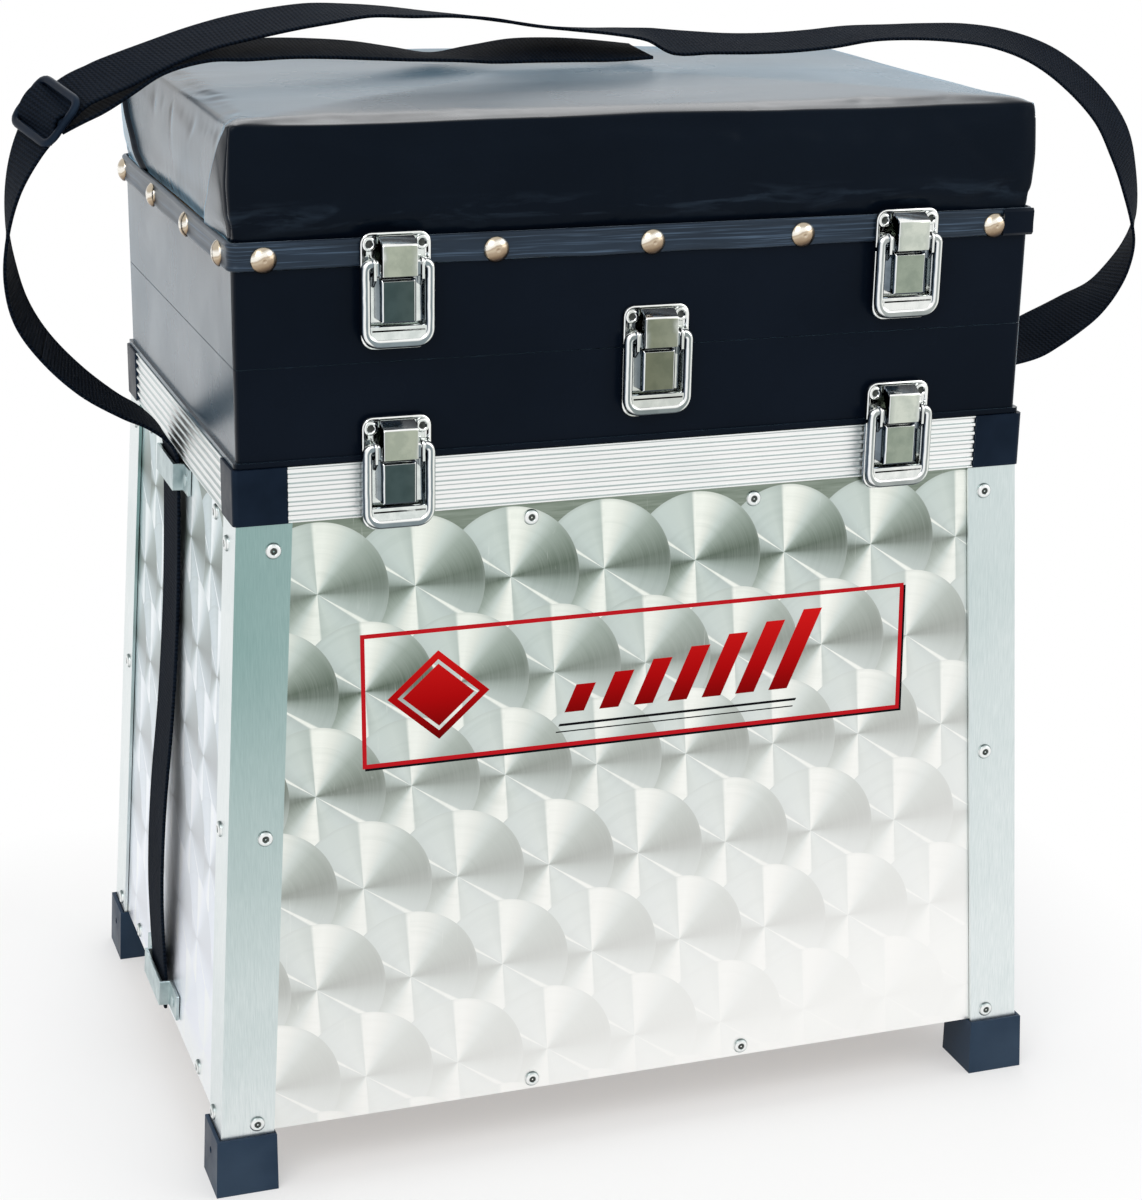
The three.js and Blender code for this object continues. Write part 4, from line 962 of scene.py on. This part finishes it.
def finish_nodes():
    for name, piece in node_of.items():
        found = [start for start in NODE_FINISHES if name.startswith(start)]
        if not found:
            continue
        material, slot, radius = NODE_FINISHES[max(found, key=len)]
        dress(piece, material)
        piece.modifiers.new("weld", "WELD").merge_threshold = WELD_REACH
        if radius:
            with_settings(
                piece.modifiers.new("bevel", "BEVEL"), width=radius, segments=3, limit_method="ANGLE",
                angle_limit=math.radians(SHARP_ANGLE), use_clamp_overlap=True,
            )
            piece.modifiers.new("normals", "WEIGHTED_NORMAL").keep_sharp = True


finish_nodes()


def dress_strap():
    left_end, left_link, top, right_link, right_end, tail, turn = strap
    for piece in strap:
        piece.data.materials.append(MATERIALS["webbing"])
    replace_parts(left_end, "strap_left")
    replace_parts(right_end, "strap_right")
    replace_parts(top, "strap_top")
    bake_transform(left_end)
    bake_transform(right_end)
    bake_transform(left_link)
    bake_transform(right_link)
    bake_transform(top)
    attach(tail, "lid")
    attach(turn, "lid")


dress_strap()


def body_of(node):
    """The body that a CAD node rides on."""
    return node_of[node].parent.name.split(":")[1]


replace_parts(dress(make_slider(), "cap_plastic", "lid"), "strap_slider")


# Draw latches, in millimetres: X across, out from the wall and up from the slit between claw and cover
LATCHES = ("upper_left", "upper_right", "middle", "lower_left", "lower_right")
LATCH_HALF, LATCH_DROP, LATCH_DEPTH = 15.6, 32.6, 7.7
STRIKE_PAD, BASE_PAD = (3.2, 10.2), (-16, -4)
PIVOT_OUT, PIVOT_UP, PIN_UP = 5, 5, 1
EDGE_BEAD = [
    (0.25, 0), (0, 0.25), (0, 1.2), (0.25, 1.7), (0.75, 1.98), (1.3, 1.8), (1.8, 1.3), (2.3, 1.05),
    (3.4, 0.95),
]
COVER_EDGE = [(0, 0.8), (0, 5.9), (0.1, 6.1), (0.75, 6.7), (0.95, 6.8), (1.2, 6.8)]
PULL_EDGE = [(1, -1.1), (0.3, -0.95), (0, -0.5), (0, 0.4), (0.3, 0.95), (0.9, 1.2), (2.2, 1.25)]
HEAD_PROFILE = [
    (3.2, 0.6), (3.2, 1.4), (2.95, 1.95), (2.45, 2.25), (1.95, 2.25), (1.6, 2.0), (1.35, 1.4),
    (0.3, 1.3),
]
WELL_PROFILE = [(1.45, 1.3), (1.4, 1.5), (0.9, 1.42), (0.2, 1.4)]
STRIKE_HEADS = [(-11.6, 13), (11.6, 13)]
CLAW_SHEET = [
    (8, -0.1), (9.2, -0.1), (9.2, 13.4), (3.3, 16.6), (1.95, 16.6), (1.95, 12.6), (2.9, 12.6),
    (2.9, 15.2), (8, 12.7),
]
HOOK_SHEET = [(0.8, 10.2), (7.4, 10.2), (7.4, 13.2), (6.2, 13.2), (6.2, 11.2), (0.8, 11.2)]


def arc(out, up, radius, start, end, steps=8):
    angles = [math.radians(start + (end - start) * i / steps) for i in range(steps + 1)]
    return [(out + radius * math.cos(a), up + radius * math.sin(a)) for a in angles]


def latch_frame(place):
    low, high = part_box("latch_base_" + place)
    origin = Vector(((low.x + high.x) / 2 / MM, low.y / MM + LATCH_DEPTH, low.z / MM + LATCH_DROP))
    return Matrix.Translation(origin) @ HALF_TURN


def pad_behind(node, at, z0, z1):
    """The block between a plate and a wall that lies further back, if it does."""
    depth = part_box(node)[1].y / MM - at.translation.y
    return [bar([(-depth, z0), (0.6, z0), (0.6, z1), (-depth, z1)], -14, 14, 0.3)] if depth > 0.5 else []


def pressed(half_width, z0, z1, radii, edge):
    """A pressed plate of a rounded outline."""
    return plate(lambda inset: rounded_rectangle(-half_width, half_width, z0, z1, radii, inset), edge)


def pair(section, near, far, edge):
    """The same section on both sides of the middle, left first."""
    return [bar(section, -far, -near, edge), bar(section, near, far, edge)]


def strike_parts():
    heads = [placed(turned(HEAD_PROFILE), Matrix.Translation((x, 0, z))) for x, z in STRIKE_HEADS]
    hook = bar(eased(HOOK_SHEET, 0.4), -5.6, 5.6, 0.3)
    return [pressed(LATCH_HALF, 0.5, 18, [0.6, 0.6, 5, 5], EDGE_BEAD), hook, *heads]


def base_parts():
    def outline(inset):
        half = LATCH_HALF - inset
        return rounded_rectangle(-half, half, -LATCH_DROP + inset, -0.9, [6, 6, 0.4, 0.4])

    ear = [(0.6, -5), (4, -5), (7.7, -1.5), *arc(PIVOT_OUT, PIVOT_UP, 2.7, 0, 180), (2.3, 0.5), (0.6, -0.9)]
    return [plate(outline, EDGE_BEAD), *pair(ear, 9.95, 11.15, 0.25)]


def cover_parts():
    return [pressed(7.75, -20.4, -1.6, [1.1, 1.1, 0.5, 0.5], COVER_EDGE)]


def ring_line():
    """The pull's bent rod from its left end round the foot to its right end, with its radius by place."""
    half = [(-9.7, PIVOT_UP), (-10.6, PIVOT_UP), (-11.6, PIVOT_UP), *arc(-11.6, PIVOT_UP - 2.6, 2.6, 90, 180)]
    half += [(-14.2, z) for z in (-4, -10, -16, -23.2)]
    half += arc(-8.2, -23.2, 6, 180, 270)
    line = half + [(-x, z) for x, z in reversed(half)]
    radii = [1.2, 1.6, 2.0] + [2.2] * (len(line) - 6) + [2.0, 1.6, 1.2]
    return [(x, PIVOT_OUT, z) for x, z in line], radii


def lever_parts():
    line, radii = ring_line()
    web = arc(PIVOT_OUT, PIVOT_UP, 1.7, 0, 180) + arc(PIVOT_OUT, PIN_UP, 1.7, 180, 360)
    pin, axle = arc(PIVOT_OUT, PIN_UP, 1, 0, 345, 15), arc(PIVOT_OUT, PIVOT_UP, 1.2, 0, 345, 15)
    rod, cranks = tube(line, radii, (0, 1, 0)), pair(web, 8.1, 9.6, 0.25)
    return [rod, *cranks, bar(pin, -9.6, 9.6, 0.1), *pair(axle, 8.1, 12, 0.1)]


def pull_parts():
    sheet = pressed(13.9, -29.2, -21.6, [6, 6, 1.6, 1.6], PULL_EDGE)
    return [placed(sheet, Matrix.Translation((0, PIVOT_OUT, 0)))]


def claw_parts():
    cheek = [*arc(PIVOT_OUT, PIN_UP, 2.1, 180, 270), (8, 0.1), (8.6, 9), (8, 9)]
    sheet = bar(eased(CLAW_SHEET, 0.9), -7.75, 7.75, 0.45)
    return [sheet, *pair(cheek, 6.6, 7.7, 0.15)]


def make_latches():
    for place in LATCHES:
        at = latch_frame(place)
        strike, base = "latch_strike_" + place, "latch_base_" + place
        lever, claw = "latch_lever_" + place, "latch_claw_" + place
        wells = [placed(turned(WELL_PROFILE), Matrix.Translation((x, 0, z))) for x, z in STRIKE_HEADS]
        pieces = [
            ("strike", strike_parts(), strike, "chrome_plate", True),
            ("wells", wells, strike, "dark_hollow", False),
            ("base", base_parts(), base, "chrome_plate", True),
            ("cover", cover_parts(), base, "chrome_cover", False),
            ("lever", lever_parts(), lever, "chrome_wire", True),
            ("pull", pull_parts(), lever, "chrome_plate", False),
            ("claw", claw_parts(), claw, "chrome_claw", True),
        ]
        for kind, parts, node, material, whole_node in pieces:
            if kind == "strike":
                parts += pad_behind(node, at, *STRIKE_PAD)
            if kind == "base":
                parts += pad_behind(node, at, *BASE_PAD)
            fine = joined(f"fine_{kind}_{place}", [placed(part, at) for part in parts])
            piece = dress(fine, material, body_of(node))
            if whole_node:
                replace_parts(piece, node)


make_latches()


# Rivets of the body and dome nails of the band, in millimetres

RIVET_PROFILE = [
    (3.7, -0.4), (3.7, 0.25), (3.5, 0.7), (3.05, 1.1), (2.4, 1.36), (1.8, 1.4), (1.55, 1.2),
    (1.45, 0.8), (0.2, 0.75),
]
RIVET_WELL = [(1.6, 0.7), (1.58, 1.12), (1.3, 1.14), (0.7, 1.05), (0.15, 1.05)]
NAIL_PROFILE = [
    (5.7, -0.4), (5.7, 0.25), (5.5, 0.6), (5.0, 1.15), (4.3, 1.75), (3.4, 2.3), (2.4, 2.66),
    (1.4, 2.84), (0.7, 2.88), (0.35, 2.78), (0.1, 2.74),
]
POST_RIVETS = (33.6, 172.8, 305)
PANEL_RIVETS = (33.6, 310)
PANEL_RIVET_ASIDE = {"front": 54, "back": 54, "right": 78, "left": 78}
POST_RIVET_INSET = 16.8
POST_SHEET = 1.9
LID_X, LID_Y = 187, 125
NAIL_REACH_X, NAIL_REACH_Y = 188.8, 126.8
BACK_NAIL_X = 174
NAIL_UP = 431.96
FRONT_NAILS = (-0.93, -0.385, 0, 0.385, 0.9)
SIDE_NAILS = (-0.97, -0.35, 0.29, 0.85)
QUARTERS = {"front": 180, "back": 0, "right": -90, "left": 90}

# The splay of the walls: their height, and how far out they are at the top and further out at the foot
WALL_TOP, WALL_HEIGHT = 317, 289
TOP_X, SPLAY_X = 186.5, 16.6
TOP_Y, SPLAY_Y = 124.5, 12.6


def panel_x(z):
    return TOP_X + SPLAY_X * (WALL_TOP - z) / WALL_HEIGHT


def panel_y(z):
    return TOP_Y + SPLAY_Y * (WALL_TOP - z) / WALL_HEIGHT


def facing(wall, across, reach, z):
    """The frame of a head on a wall, that far out from the middle and across to the right of it."""
    return Matrix.Rotation(math.radians(QUARTERS[wall]), 4, "Z") @ Matrix.Translation((across, reach, z))


def rivet_frames():
    frames = []
    for wall in QUARTERS:
        reach, width = (panel_y, panel_x) if wall in ("front", "back") else (panel_x, panel_y)
        for side in (-1, 1):
            for z in POST_RIVETS:
                across = width(z) + POST_SHEET - POST_RIVET_INSET
                frames.append(facing(wall, side * across, reach(z) + POST_SHEET, z))
            for z in PANEL_RIVETS:
                frames.append(facing(wall, side * PANEL_RIVET_ASIDE[wall], reach(z), z))
    return frames


def nail_frames():
    frames = [facing("front", LID_X * -share, NAIL_REACH_Y, NAIL_UP) for share in FRONT_NAILS]
    frames += [facing("back", side * BACK_NAIL_X, NAIL_REACH_Y, NAIL_UP) for side in (-1, 1)]
    frames += [facing("left", LID_Y * -share, NAIL_REACH_X, NAIL_UP) for share in SIDE_NAILS]
    frames += [facing("right", LID_Y * share, NAIL_REACH_X, NAIL_UP) for share in SIDE_NAILS]
    return frames


def make_heads():
    rivets = [placed(turned(RIVET_PROFILE), at) for at in rivet_frames()]
    wells = [placed(turned(RIVET_WELL, 12), at) for at in rivet_frames()]
    nails = [placed(turned(NAIL_PROFILE, 32), at) for at in nail_frames()]
    dress(joined("fine_rivets", rivets), "rivet", "box")
    dress(joined("rivet_hollows", wells), "dark_hollow", "box")
    dress(joined("fine_nails", nails), "nickel", "lid")


make_heads()


# Trim band: a ridged strip nailed round the lid, a little wavy, its ends overlapped near the front's right

BAND_FOOT, BAND_HEAD = 427.3, 439.4
BAND_SECTION = [
    (0.3, BAND_FOOT), (1.3, BAND_FOOT), (1.9, 427.7), (2.1, 428.4), (1.9, 429.2), (1.55, 429.8),
    (1.6, 432), (1.8, 433.2), (1.6, 434.4), (1.55, 436.6), (1.85, 437.2), (2.1, 438), (1.9, 438.8),
    (1.3, BAND_HEAD), (0.3, BAND_HEAD),
]
BAND_OVERLAP_X = 172
OVERLAP_SECTION = [
    (126.4, 427.6), (127.9, 427.2), (128.9, 428.4), (128.7, 433), (128.9, 438.2), (127.9, 439.6),
    (126.4, 439.2),
]


def band_outline():
    """The lid's outline seen from above, with a point about every 5 mm."""
    corner = rounded_rectangle(-LID_X, LID_X, -LID_Y, LID_Y, [3] * 4)
    points = []
    for _, here, after in with_neighbours(corner):
        steps = max(1, round(math.dist(here, after) / 5))
        side = (after[0] - here[0], after[1] - here[1])
        points += [(here[0] + side[0] * k / steps, here[1] + side[1] * k / steps) for k in range(steps)]
    return points


def make_band():
    outline = band_outline()
    rings, weave = [], []
    run = 0
    for i, (last, here, after) in enumerate(with_neighbours(outline)):
        away = Vector((after[1] - last[1], last[0] - after[0], 0)).normalized()
        run += math.dist(here, last) if i else 0
        point = Vector((here[0], here[1], 0))
        wave = noise.noise(Vector((run * 0.035, 2.5, 0))) * 0.7
        puff = noise.noise(Vector((run * 0.05, 7.5, 0))) * 0.25
        ring = []
        # The wave and the puff leave the strip's back alone, and the wave grows towards its foot
        for out, up in BAND_SECTION:
            low_share = (BAND_HEAD - up) / (BAND_HEAD - BAND_FOOT)
            loose = out > 1
            ring.append(point + away * (out + puff * loose) + Vector((0, 0, up + wave * low_share * loose)))
            weave.append((run * MM, (up - BAND_FOOT) * MM, out * MM))
        rings.append(ring)
    points, faces = loft(rings, closed=True)
    band = mesh_of("fine_band", [p * MM for p in points], faces)
    set_weave(band, weave)
    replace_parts(dress(new_object("fine_band", band), "band_vinyl", "lid"), "trim_band")
    end = placed(bar(OVERLAP_SECTION, -LID_X - 0.5, -BAND_OVERLAP_X, 0.5), HALF_TURN)
    dress(joined("band_overlap", [end]), "tray_vinyl", "lid")


make_band()


# Cushion: a foam block under smooth vinyl, blown up a little as cloth and then pulled into its folds

CUSHION_LOW, CUSHION_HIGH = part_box("cushion")
CORNER_INSET = 3.5 * MM
CUSHION_RADIUS = 4.5 * MM
CUSHION_EDGE = 3.2 * MM
CUSHION_CROWN = 3.5 * MM
CUSHION_PULL = 1.6 * MM
CUSHION_START_INSET = 1.6 * MM
CUSHION_VOXEL = 3 * MM
CUSHION_CAP = 0.9 * MM
CLOTH_FRAMES = 20
CUSHION_SQUARE = 5  # the power of the squarer form to which the remeshed edges are pushed out
CUSHION_ROUND = 4.4 * MM
FOLD_WIDTH = 50 * MM
FOLD_RISE = 2.6 * MM


def cushion_start():
    """Rings of a rounded block whose sides are drawn in between its corners."""
    half_x = CUSHION_HIGH.x - CUSHION_START_INSET
    half_y = CUSHION_HIGH.y - CUSHION_START_INSET
    top = CUSHION_HIGH.z - CUSHION_CROWN - CUSHION_START_INSET / 2
    side_steps, corner_steps = 24, 6

    def ring(inset, z, scale=1.0):
        points = []
        for quarter in range(4):
            sx = 1 if quarter in (0, 3) else -1
            sy = 1 if quarter < 2 else -1
            x, y = half_x - inset - CUSHION_RADIUS, half_y - inset - CUSHION_RADIUS
            for i in range(corner_steps + 1):
                angle = (quarter + i / corner_steps) * math.pi / 2
                across, deep = CUSHION_RADIUS * math.cos(angle), CUSHION_RADIUS * math.sin(angle)
                points.append((sx * x + across, sy * y + deep))
            for i in range(1, side_steps):
                pull = CUSHION_PULL * math.sin(math.pi * i / side_steps) ** 0.6
                along = 1 - 2 * i / side_steps
                if quarter % 2 == 0:
                    points.append((sx * along * x, sy * (y + CUSHION_RADIUS - pull)))
                else:
                    points.append((sx * (x + CUSHION_RADIUS - pull), sy * along * y))
        return [(px * scale, py * scale, z) for px, py in points]

    wall = [(0.0, 0.6), (0.12, 0.3), (0.3, -0.5), (0.55, -1.0), (0.8, -0.5), (1.0, 0.0)]
    wall_top = top - CUSHION_EDGE
    rings = [ring(inset * MM, CUSHION_LOW.z + share * (wall_top - CUSHION_LOW.z)) for share, inset in wall]
    for i in range(1, 6):
        angle = i / 5 * math.pi / 2
        rings.append(ring(CUSHION_EDGE * (1 - math.cos(angle)), wall_top + CUSHION_EDGE * math.sin(angle)))
    for share in (0.94, 0.8, 0.6, 0.4, 0.2, 0.06):
        rings.append(ring(CUSHION_EDGE, top + CUSHION_CROWN * (1 - share * share), share))
    return mesh_of("cushion_start", *loft(rings))


def evaluated_mesh(piece):
    depsgraph = bpy.context.evaluated_depsgraph_get()
    return bpy.data.meshes.new_from_object(piece.evaluated_get(depsgraph))


def apply_modifiers(piece):
    mesh = evaluated_mesh(piece)
    piece.modifiers.clear()
    old = piece.data
    piece.data = mesh
    bpy.data.meshes.remove(old)
    mesh.polygons.foreach_set("use_smooth", [True] * len(mesh.polygons))


def set_coordinates(mesh, points):
    mesh.vertices.foreach_set("co", np.asarray(points, np.float32).ravel())
    mesh.update()


def step(value, low, high):
    t = np.clip((value - low) / (high - low), 0, 1)
    return t * t * (3 - 2 * t)


def hill(value, middle, width):
    return np.exp(-(((value - middle) / width) ** 2))


def wander(points, scales, seed):
    """Smooth noise at each point, from about -1 to 1."""
    offset = Vector((seed * 7.3, seed * 3.1, seed * 5.7))
    return np.array([noise.noise(Vector(p * scales) + offset) for p in points])


def blow_up(piece):
    """Cloth under pressure, held at the foot. Each point moves no further than the cap."""
    rest = vertex_values(piece.data, "co")
    held = piece.vertex_groups.new(name="held")
    low_points = [i for i, p in enumerate(rest) if p[2] < CUSHION_LOW.z + 5 * MM]
    held.add(low_points, 1.0, "REPLACE")
    cloth = piece.modifiers.new("cloth", "CLOTH")
    with_settings(
        cloth.settings, quality=5, mass=0.3, tension_stiffness=15, compression_stiffness=15,
        bending_stiffness=0.5, use_pressure=True, uniform_pressure_force=4, shrink_min=-0.01,
        vertex_group_mass="held",
    )
    cloth.settings.effector_weights.gravity = 0
    cloth.collision_settings.use_collision = False
    scene = bpy.context.scene
    for f in range(1, CLOTH_FRAMES + 1):
        scene.frame_set(f)
    blown = vertex_values(evaluated_mesh(piece), "co")
    piece.modifiers.clear()
    scene.frame_set(1)
    move = blown - rest
    size = np.maximum(np.linalg.norm(move, axis=1, keepdims=True), 1e-9)
    set_coordinates(piece.data, rest + move / size * CUSHION_CAP * np.tanh(size / CUSHION_CAP))


def pull_into_shape(piece):
    """The vinyl's pulls, waves and dents, as moves along the normals."""
    mesh = piece.data
    p, normal = vertex_values(mesh, "co"), vertex_values(mesh, "normal")
    squarer = (np.abs(normal) ** CUSHION_SQUARE).sum(axis=1) ** (-1 / CUSHION_SQUARE) - 1
    p = p + normal * (squarer * CUSHION_ROUND * step(p[:, 2], CUSHION_LOW.z, CUSHION_LOW.z + 6 * MM))[:, None]
    x, y, z = p.T
    foot, top = CUSHION_LOW.z, CUSHION_HIGH.z
    band = foot + 5 * MM
    front = step(-normal[:, 1], 0.5, 0.9)
    ends = step(np.abs(normal[:, 0]), 0.5, 0.9)
    back = step(normal[:, 1], 0.5, 0.9)
    upward = step(normal[:, 2], 0.3, 0.8)
    wall = np.clip(front + ends + back, 0, 1)
    slow = wander(p, (16, 16, 30), 1)
    puff = hill(z, band + 6 * MM, 4.5 * MM) * (0.75 + 0.8 * wander(p, (22, 22, 0), 2))
    move = wall * puff * 0.9 * MM
    for latch in (latch_frame(name).translation.x * MM for name in ("upper_left", "upper_right")):
        lifted = hill(x, latch, 24 * MM) * front
        move += lifted * hill(z, band + 10 * MM, 4 * MM) * 1.3 * MM
        move -= lifted * hill(z, band + 2 * MM, 4 * MM) * 0.8 * MM
    height = np.clip((z - foot) / (top - foot), 0, 1)
    pulls = wander(p, (0, 190, 14), 3) * 0.02 * MM + wander(p, (0, 45, 8), 4) * 0.1 * MM
    move += ends * pulls * (1 - 0.6 * height)
    move += front * wander(p, (30, 0, 40), 5) * 0.35 * MM
    move += back * wander(p, (40, 0, 30), 6) * 0.6 * MM
    right_end = step(x, 0.12, 0.18) * front
    dent = hill((x - 0.155) + (z - 0.47) * 1.1, 0, 7 * MM)
    move -= right_end * dent * 0.7 * MM
    move += ends * hill(z, foot + 0.5 * (top - foot), 14 * MM) * 0.5 * MM
    move += wall * slow * 0.35 * MM
    p = p + normal * move[:, None]
    edge = step(z, top - 16 * MM, top - 6 * MM)
    rim = np.maximum(step(np.abs(x), 0.165, 0.182), step(np.abs(y), 0.1, 0.12))
    p[:, 2] += edge * rim * wander(p, (14, 14, 0), 7) * 0.9 * MM
    rear = step(y, 0.06, 0.12) * edge
    p[:, 2] += rear * (wander(p, (13, 0, 0), 8) * 2.6 - 1.0) * MM
    p[:, 2] += upward * wander(p, (9, 14, 0), 9) * 0.5 * MM
    set_coordinates(mesh, p)


def fold(name, cushion_tree, side, end):
    """The vinyl folded round a corner: a flap on the end wall from the top corner down to the band."""
    across, down = 14, 22
    foot = CUSHION_LOW.z + 2 * MM
    head = CUSHION_HIGH.z - CUSHION_EDGE
    corner = end * (CUSHION_HIGH.y - CORNER_INSET)
    outer, inner = [], []
    for j in range(down + 1):
        t = j / down
        width = FOLD_WIDTH * (1 - t) ** 1.15 + 1.5 * MM
        bow = 3 * MM * math.sin(math.pi * t)
        for i in range(across + 1):
            s = 1 - (1 - i / across) ** 2
            y = corner - end * (width - bow) * s
            z = foot + (head - foot) * t
            place, facing, _, _ = cushion_tree.find_nearest(Vector((side * CUSHION_HIGH.x, y, z)))
            rise = FOLD_RISE * (s**0.8 - step(np.float64(s), 0.955, 1.0)) * (1 - t**6)
            outer.append(place + facing * (float(rise) + 0.02 * MM * (0 < s < 1)))
            inner.append(place - facing * 0.6 * MM)
    row = across + 1
    faces = []
    shift = len(outer)
    for j in range(down):
        for i in range(across):
            a = j * row + i
            quad = (a, a + 1, a + row + 1, a + row)
            lower = tuple(q + shift for q in quad)
            faces += [quad, lower[::-1]] if side * end > 0 else [quad[::-1], lower]
    border = [*range(row)] + [j * row + across for j in range(1, down + 1)]
    border += [down * row + i for i in range(across - 1, -1, -1)] + [j * row for j in range(down - 1, 0, -1)]
    for _, a, b in with_neighbours(border):
        quad = (b, a, a + shift, b + shift)
        faces.append(quad if side * end > 0 else quad[::-1])
    return new_object(name, mesh_of(name, outer + inner, faces))


def make_cushion():
    piece = new_object("cushion_cover", cushion_start())
    with_settings(piece.modifiers.new("remesh", "REMESH"), mode="VOXEL", voxel_size=CUSHION_VOXEL)
    apply_modifiers(piece)
    blow_up(piece)
    with_settings(piece.modifiers.new("finer", "SUBSURF"), levels=1, render_levels=1)
    apply_modifiers(piece)
    pull_into_shape(piece)
    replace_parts(dress(piece, "cushion_vinyl", "lid"), "cushion")
    mesh = piece.data
    tree = BVHTree.FromPolygons([v.co for v in mesh.vertices], [tuple(q.vertices) for q in mesh.polygons])
    for side, side_name in ((-1, "left"), (1, "right")):
        for end, end_name in ((-1, "front"), (1, "back")):
            flap = fold(f"cushion_fold_{end_name}_{side_name}", tree, side, end)
            dress(flap, "cushion_vinyl", "lid")


make_cushion()


# Studio: a pale floor, a white background and soft lamps. The floor's own glow, seen but not cast on the
# object, grows from the box's feet to the fade's end, so the shadow stays and the rest is white.

FLOOR_HALF = 6
FOOT_X, FOOT_Y = 0.205, 0.14
NEAR_GLOW = 0.42
FLOOR_FADE = 0.16
WORLD_LIGHT = 0.66


def make_floor():
    s = Shader("floor", Specular_IOR_Level=0.1)
    x, y, _ = s.parts(s.place())
    beside, before = x.to("ABSOLUTE") - FOOT_X, y.to("ABSOLUTE") - FOOT_Y
    far = s.range(beside.to("MAXIMUM", before), NEAR_GLOW, 1, 0, FLOOR_FADE)
    s.finish(Base_Color=(0.94, 0.94, 0.94, 1), Roughness=0.9)
    s.mix_surfaces(far * s.background_ray(), s.surface, s.node("Emission"), "Material Output")
    half = FLOOR_HALF
    corners = [(-half, -half, 0), (half, -half, 0), (half, half, 0), (-half, half, 0)]
    floor = new_object("floor", mesh_of("floor", corners, [(0, 1, 2, 3)], smooth=False))
    floor.data.materials.append(s.material)


def make_world():
    """White to the camera and in reflections and glass, and softer as light."""
    world = bpy.data.worlds.new("studio")
    bpy.context.scene.world = world
    world.use_nodes = True
    n = Nodes(world.node_tree)
    white, soft = n.tree.nodes["Background"], n.node("Background")
    for light, strength in ((white, 1), (soft, WORLD_LIGHT)):
        n.feed_all(light, Color=(1, 1, 1, 1), Strength=strength)
    n.mix_surfaces(n.background_ray(), soft, white, "World Output")


# Each lamp's name, place, size and power
LAMPS = [
    ("key", (-1.1, -1.3, 1.9), 1.3, 15),
    ("fill", (1.6, -1.1, 1.2), 1.4, 7),
    ("back", (0.4, 1.6, 1.9), 1.4, 8),
]


def make_lamps():
    aim = Vector((0, 0, 0.25))
    for name, place, size, power in LAMPS:
        lamp = with_settings(bpy.data.lights.new(name, "AREA"), shape="SQUARE", size=size, energy=power)
        holder = new_object(name, lamp)
        holder.location = place
        holder.rotation_euler = (aim - Vector(place)).to_track_quat("-Z", "Y").to_euler()


make_floor()
make_world()
make_lamps()

bpy.context.scene.view_settings.view_transform = "Standard"
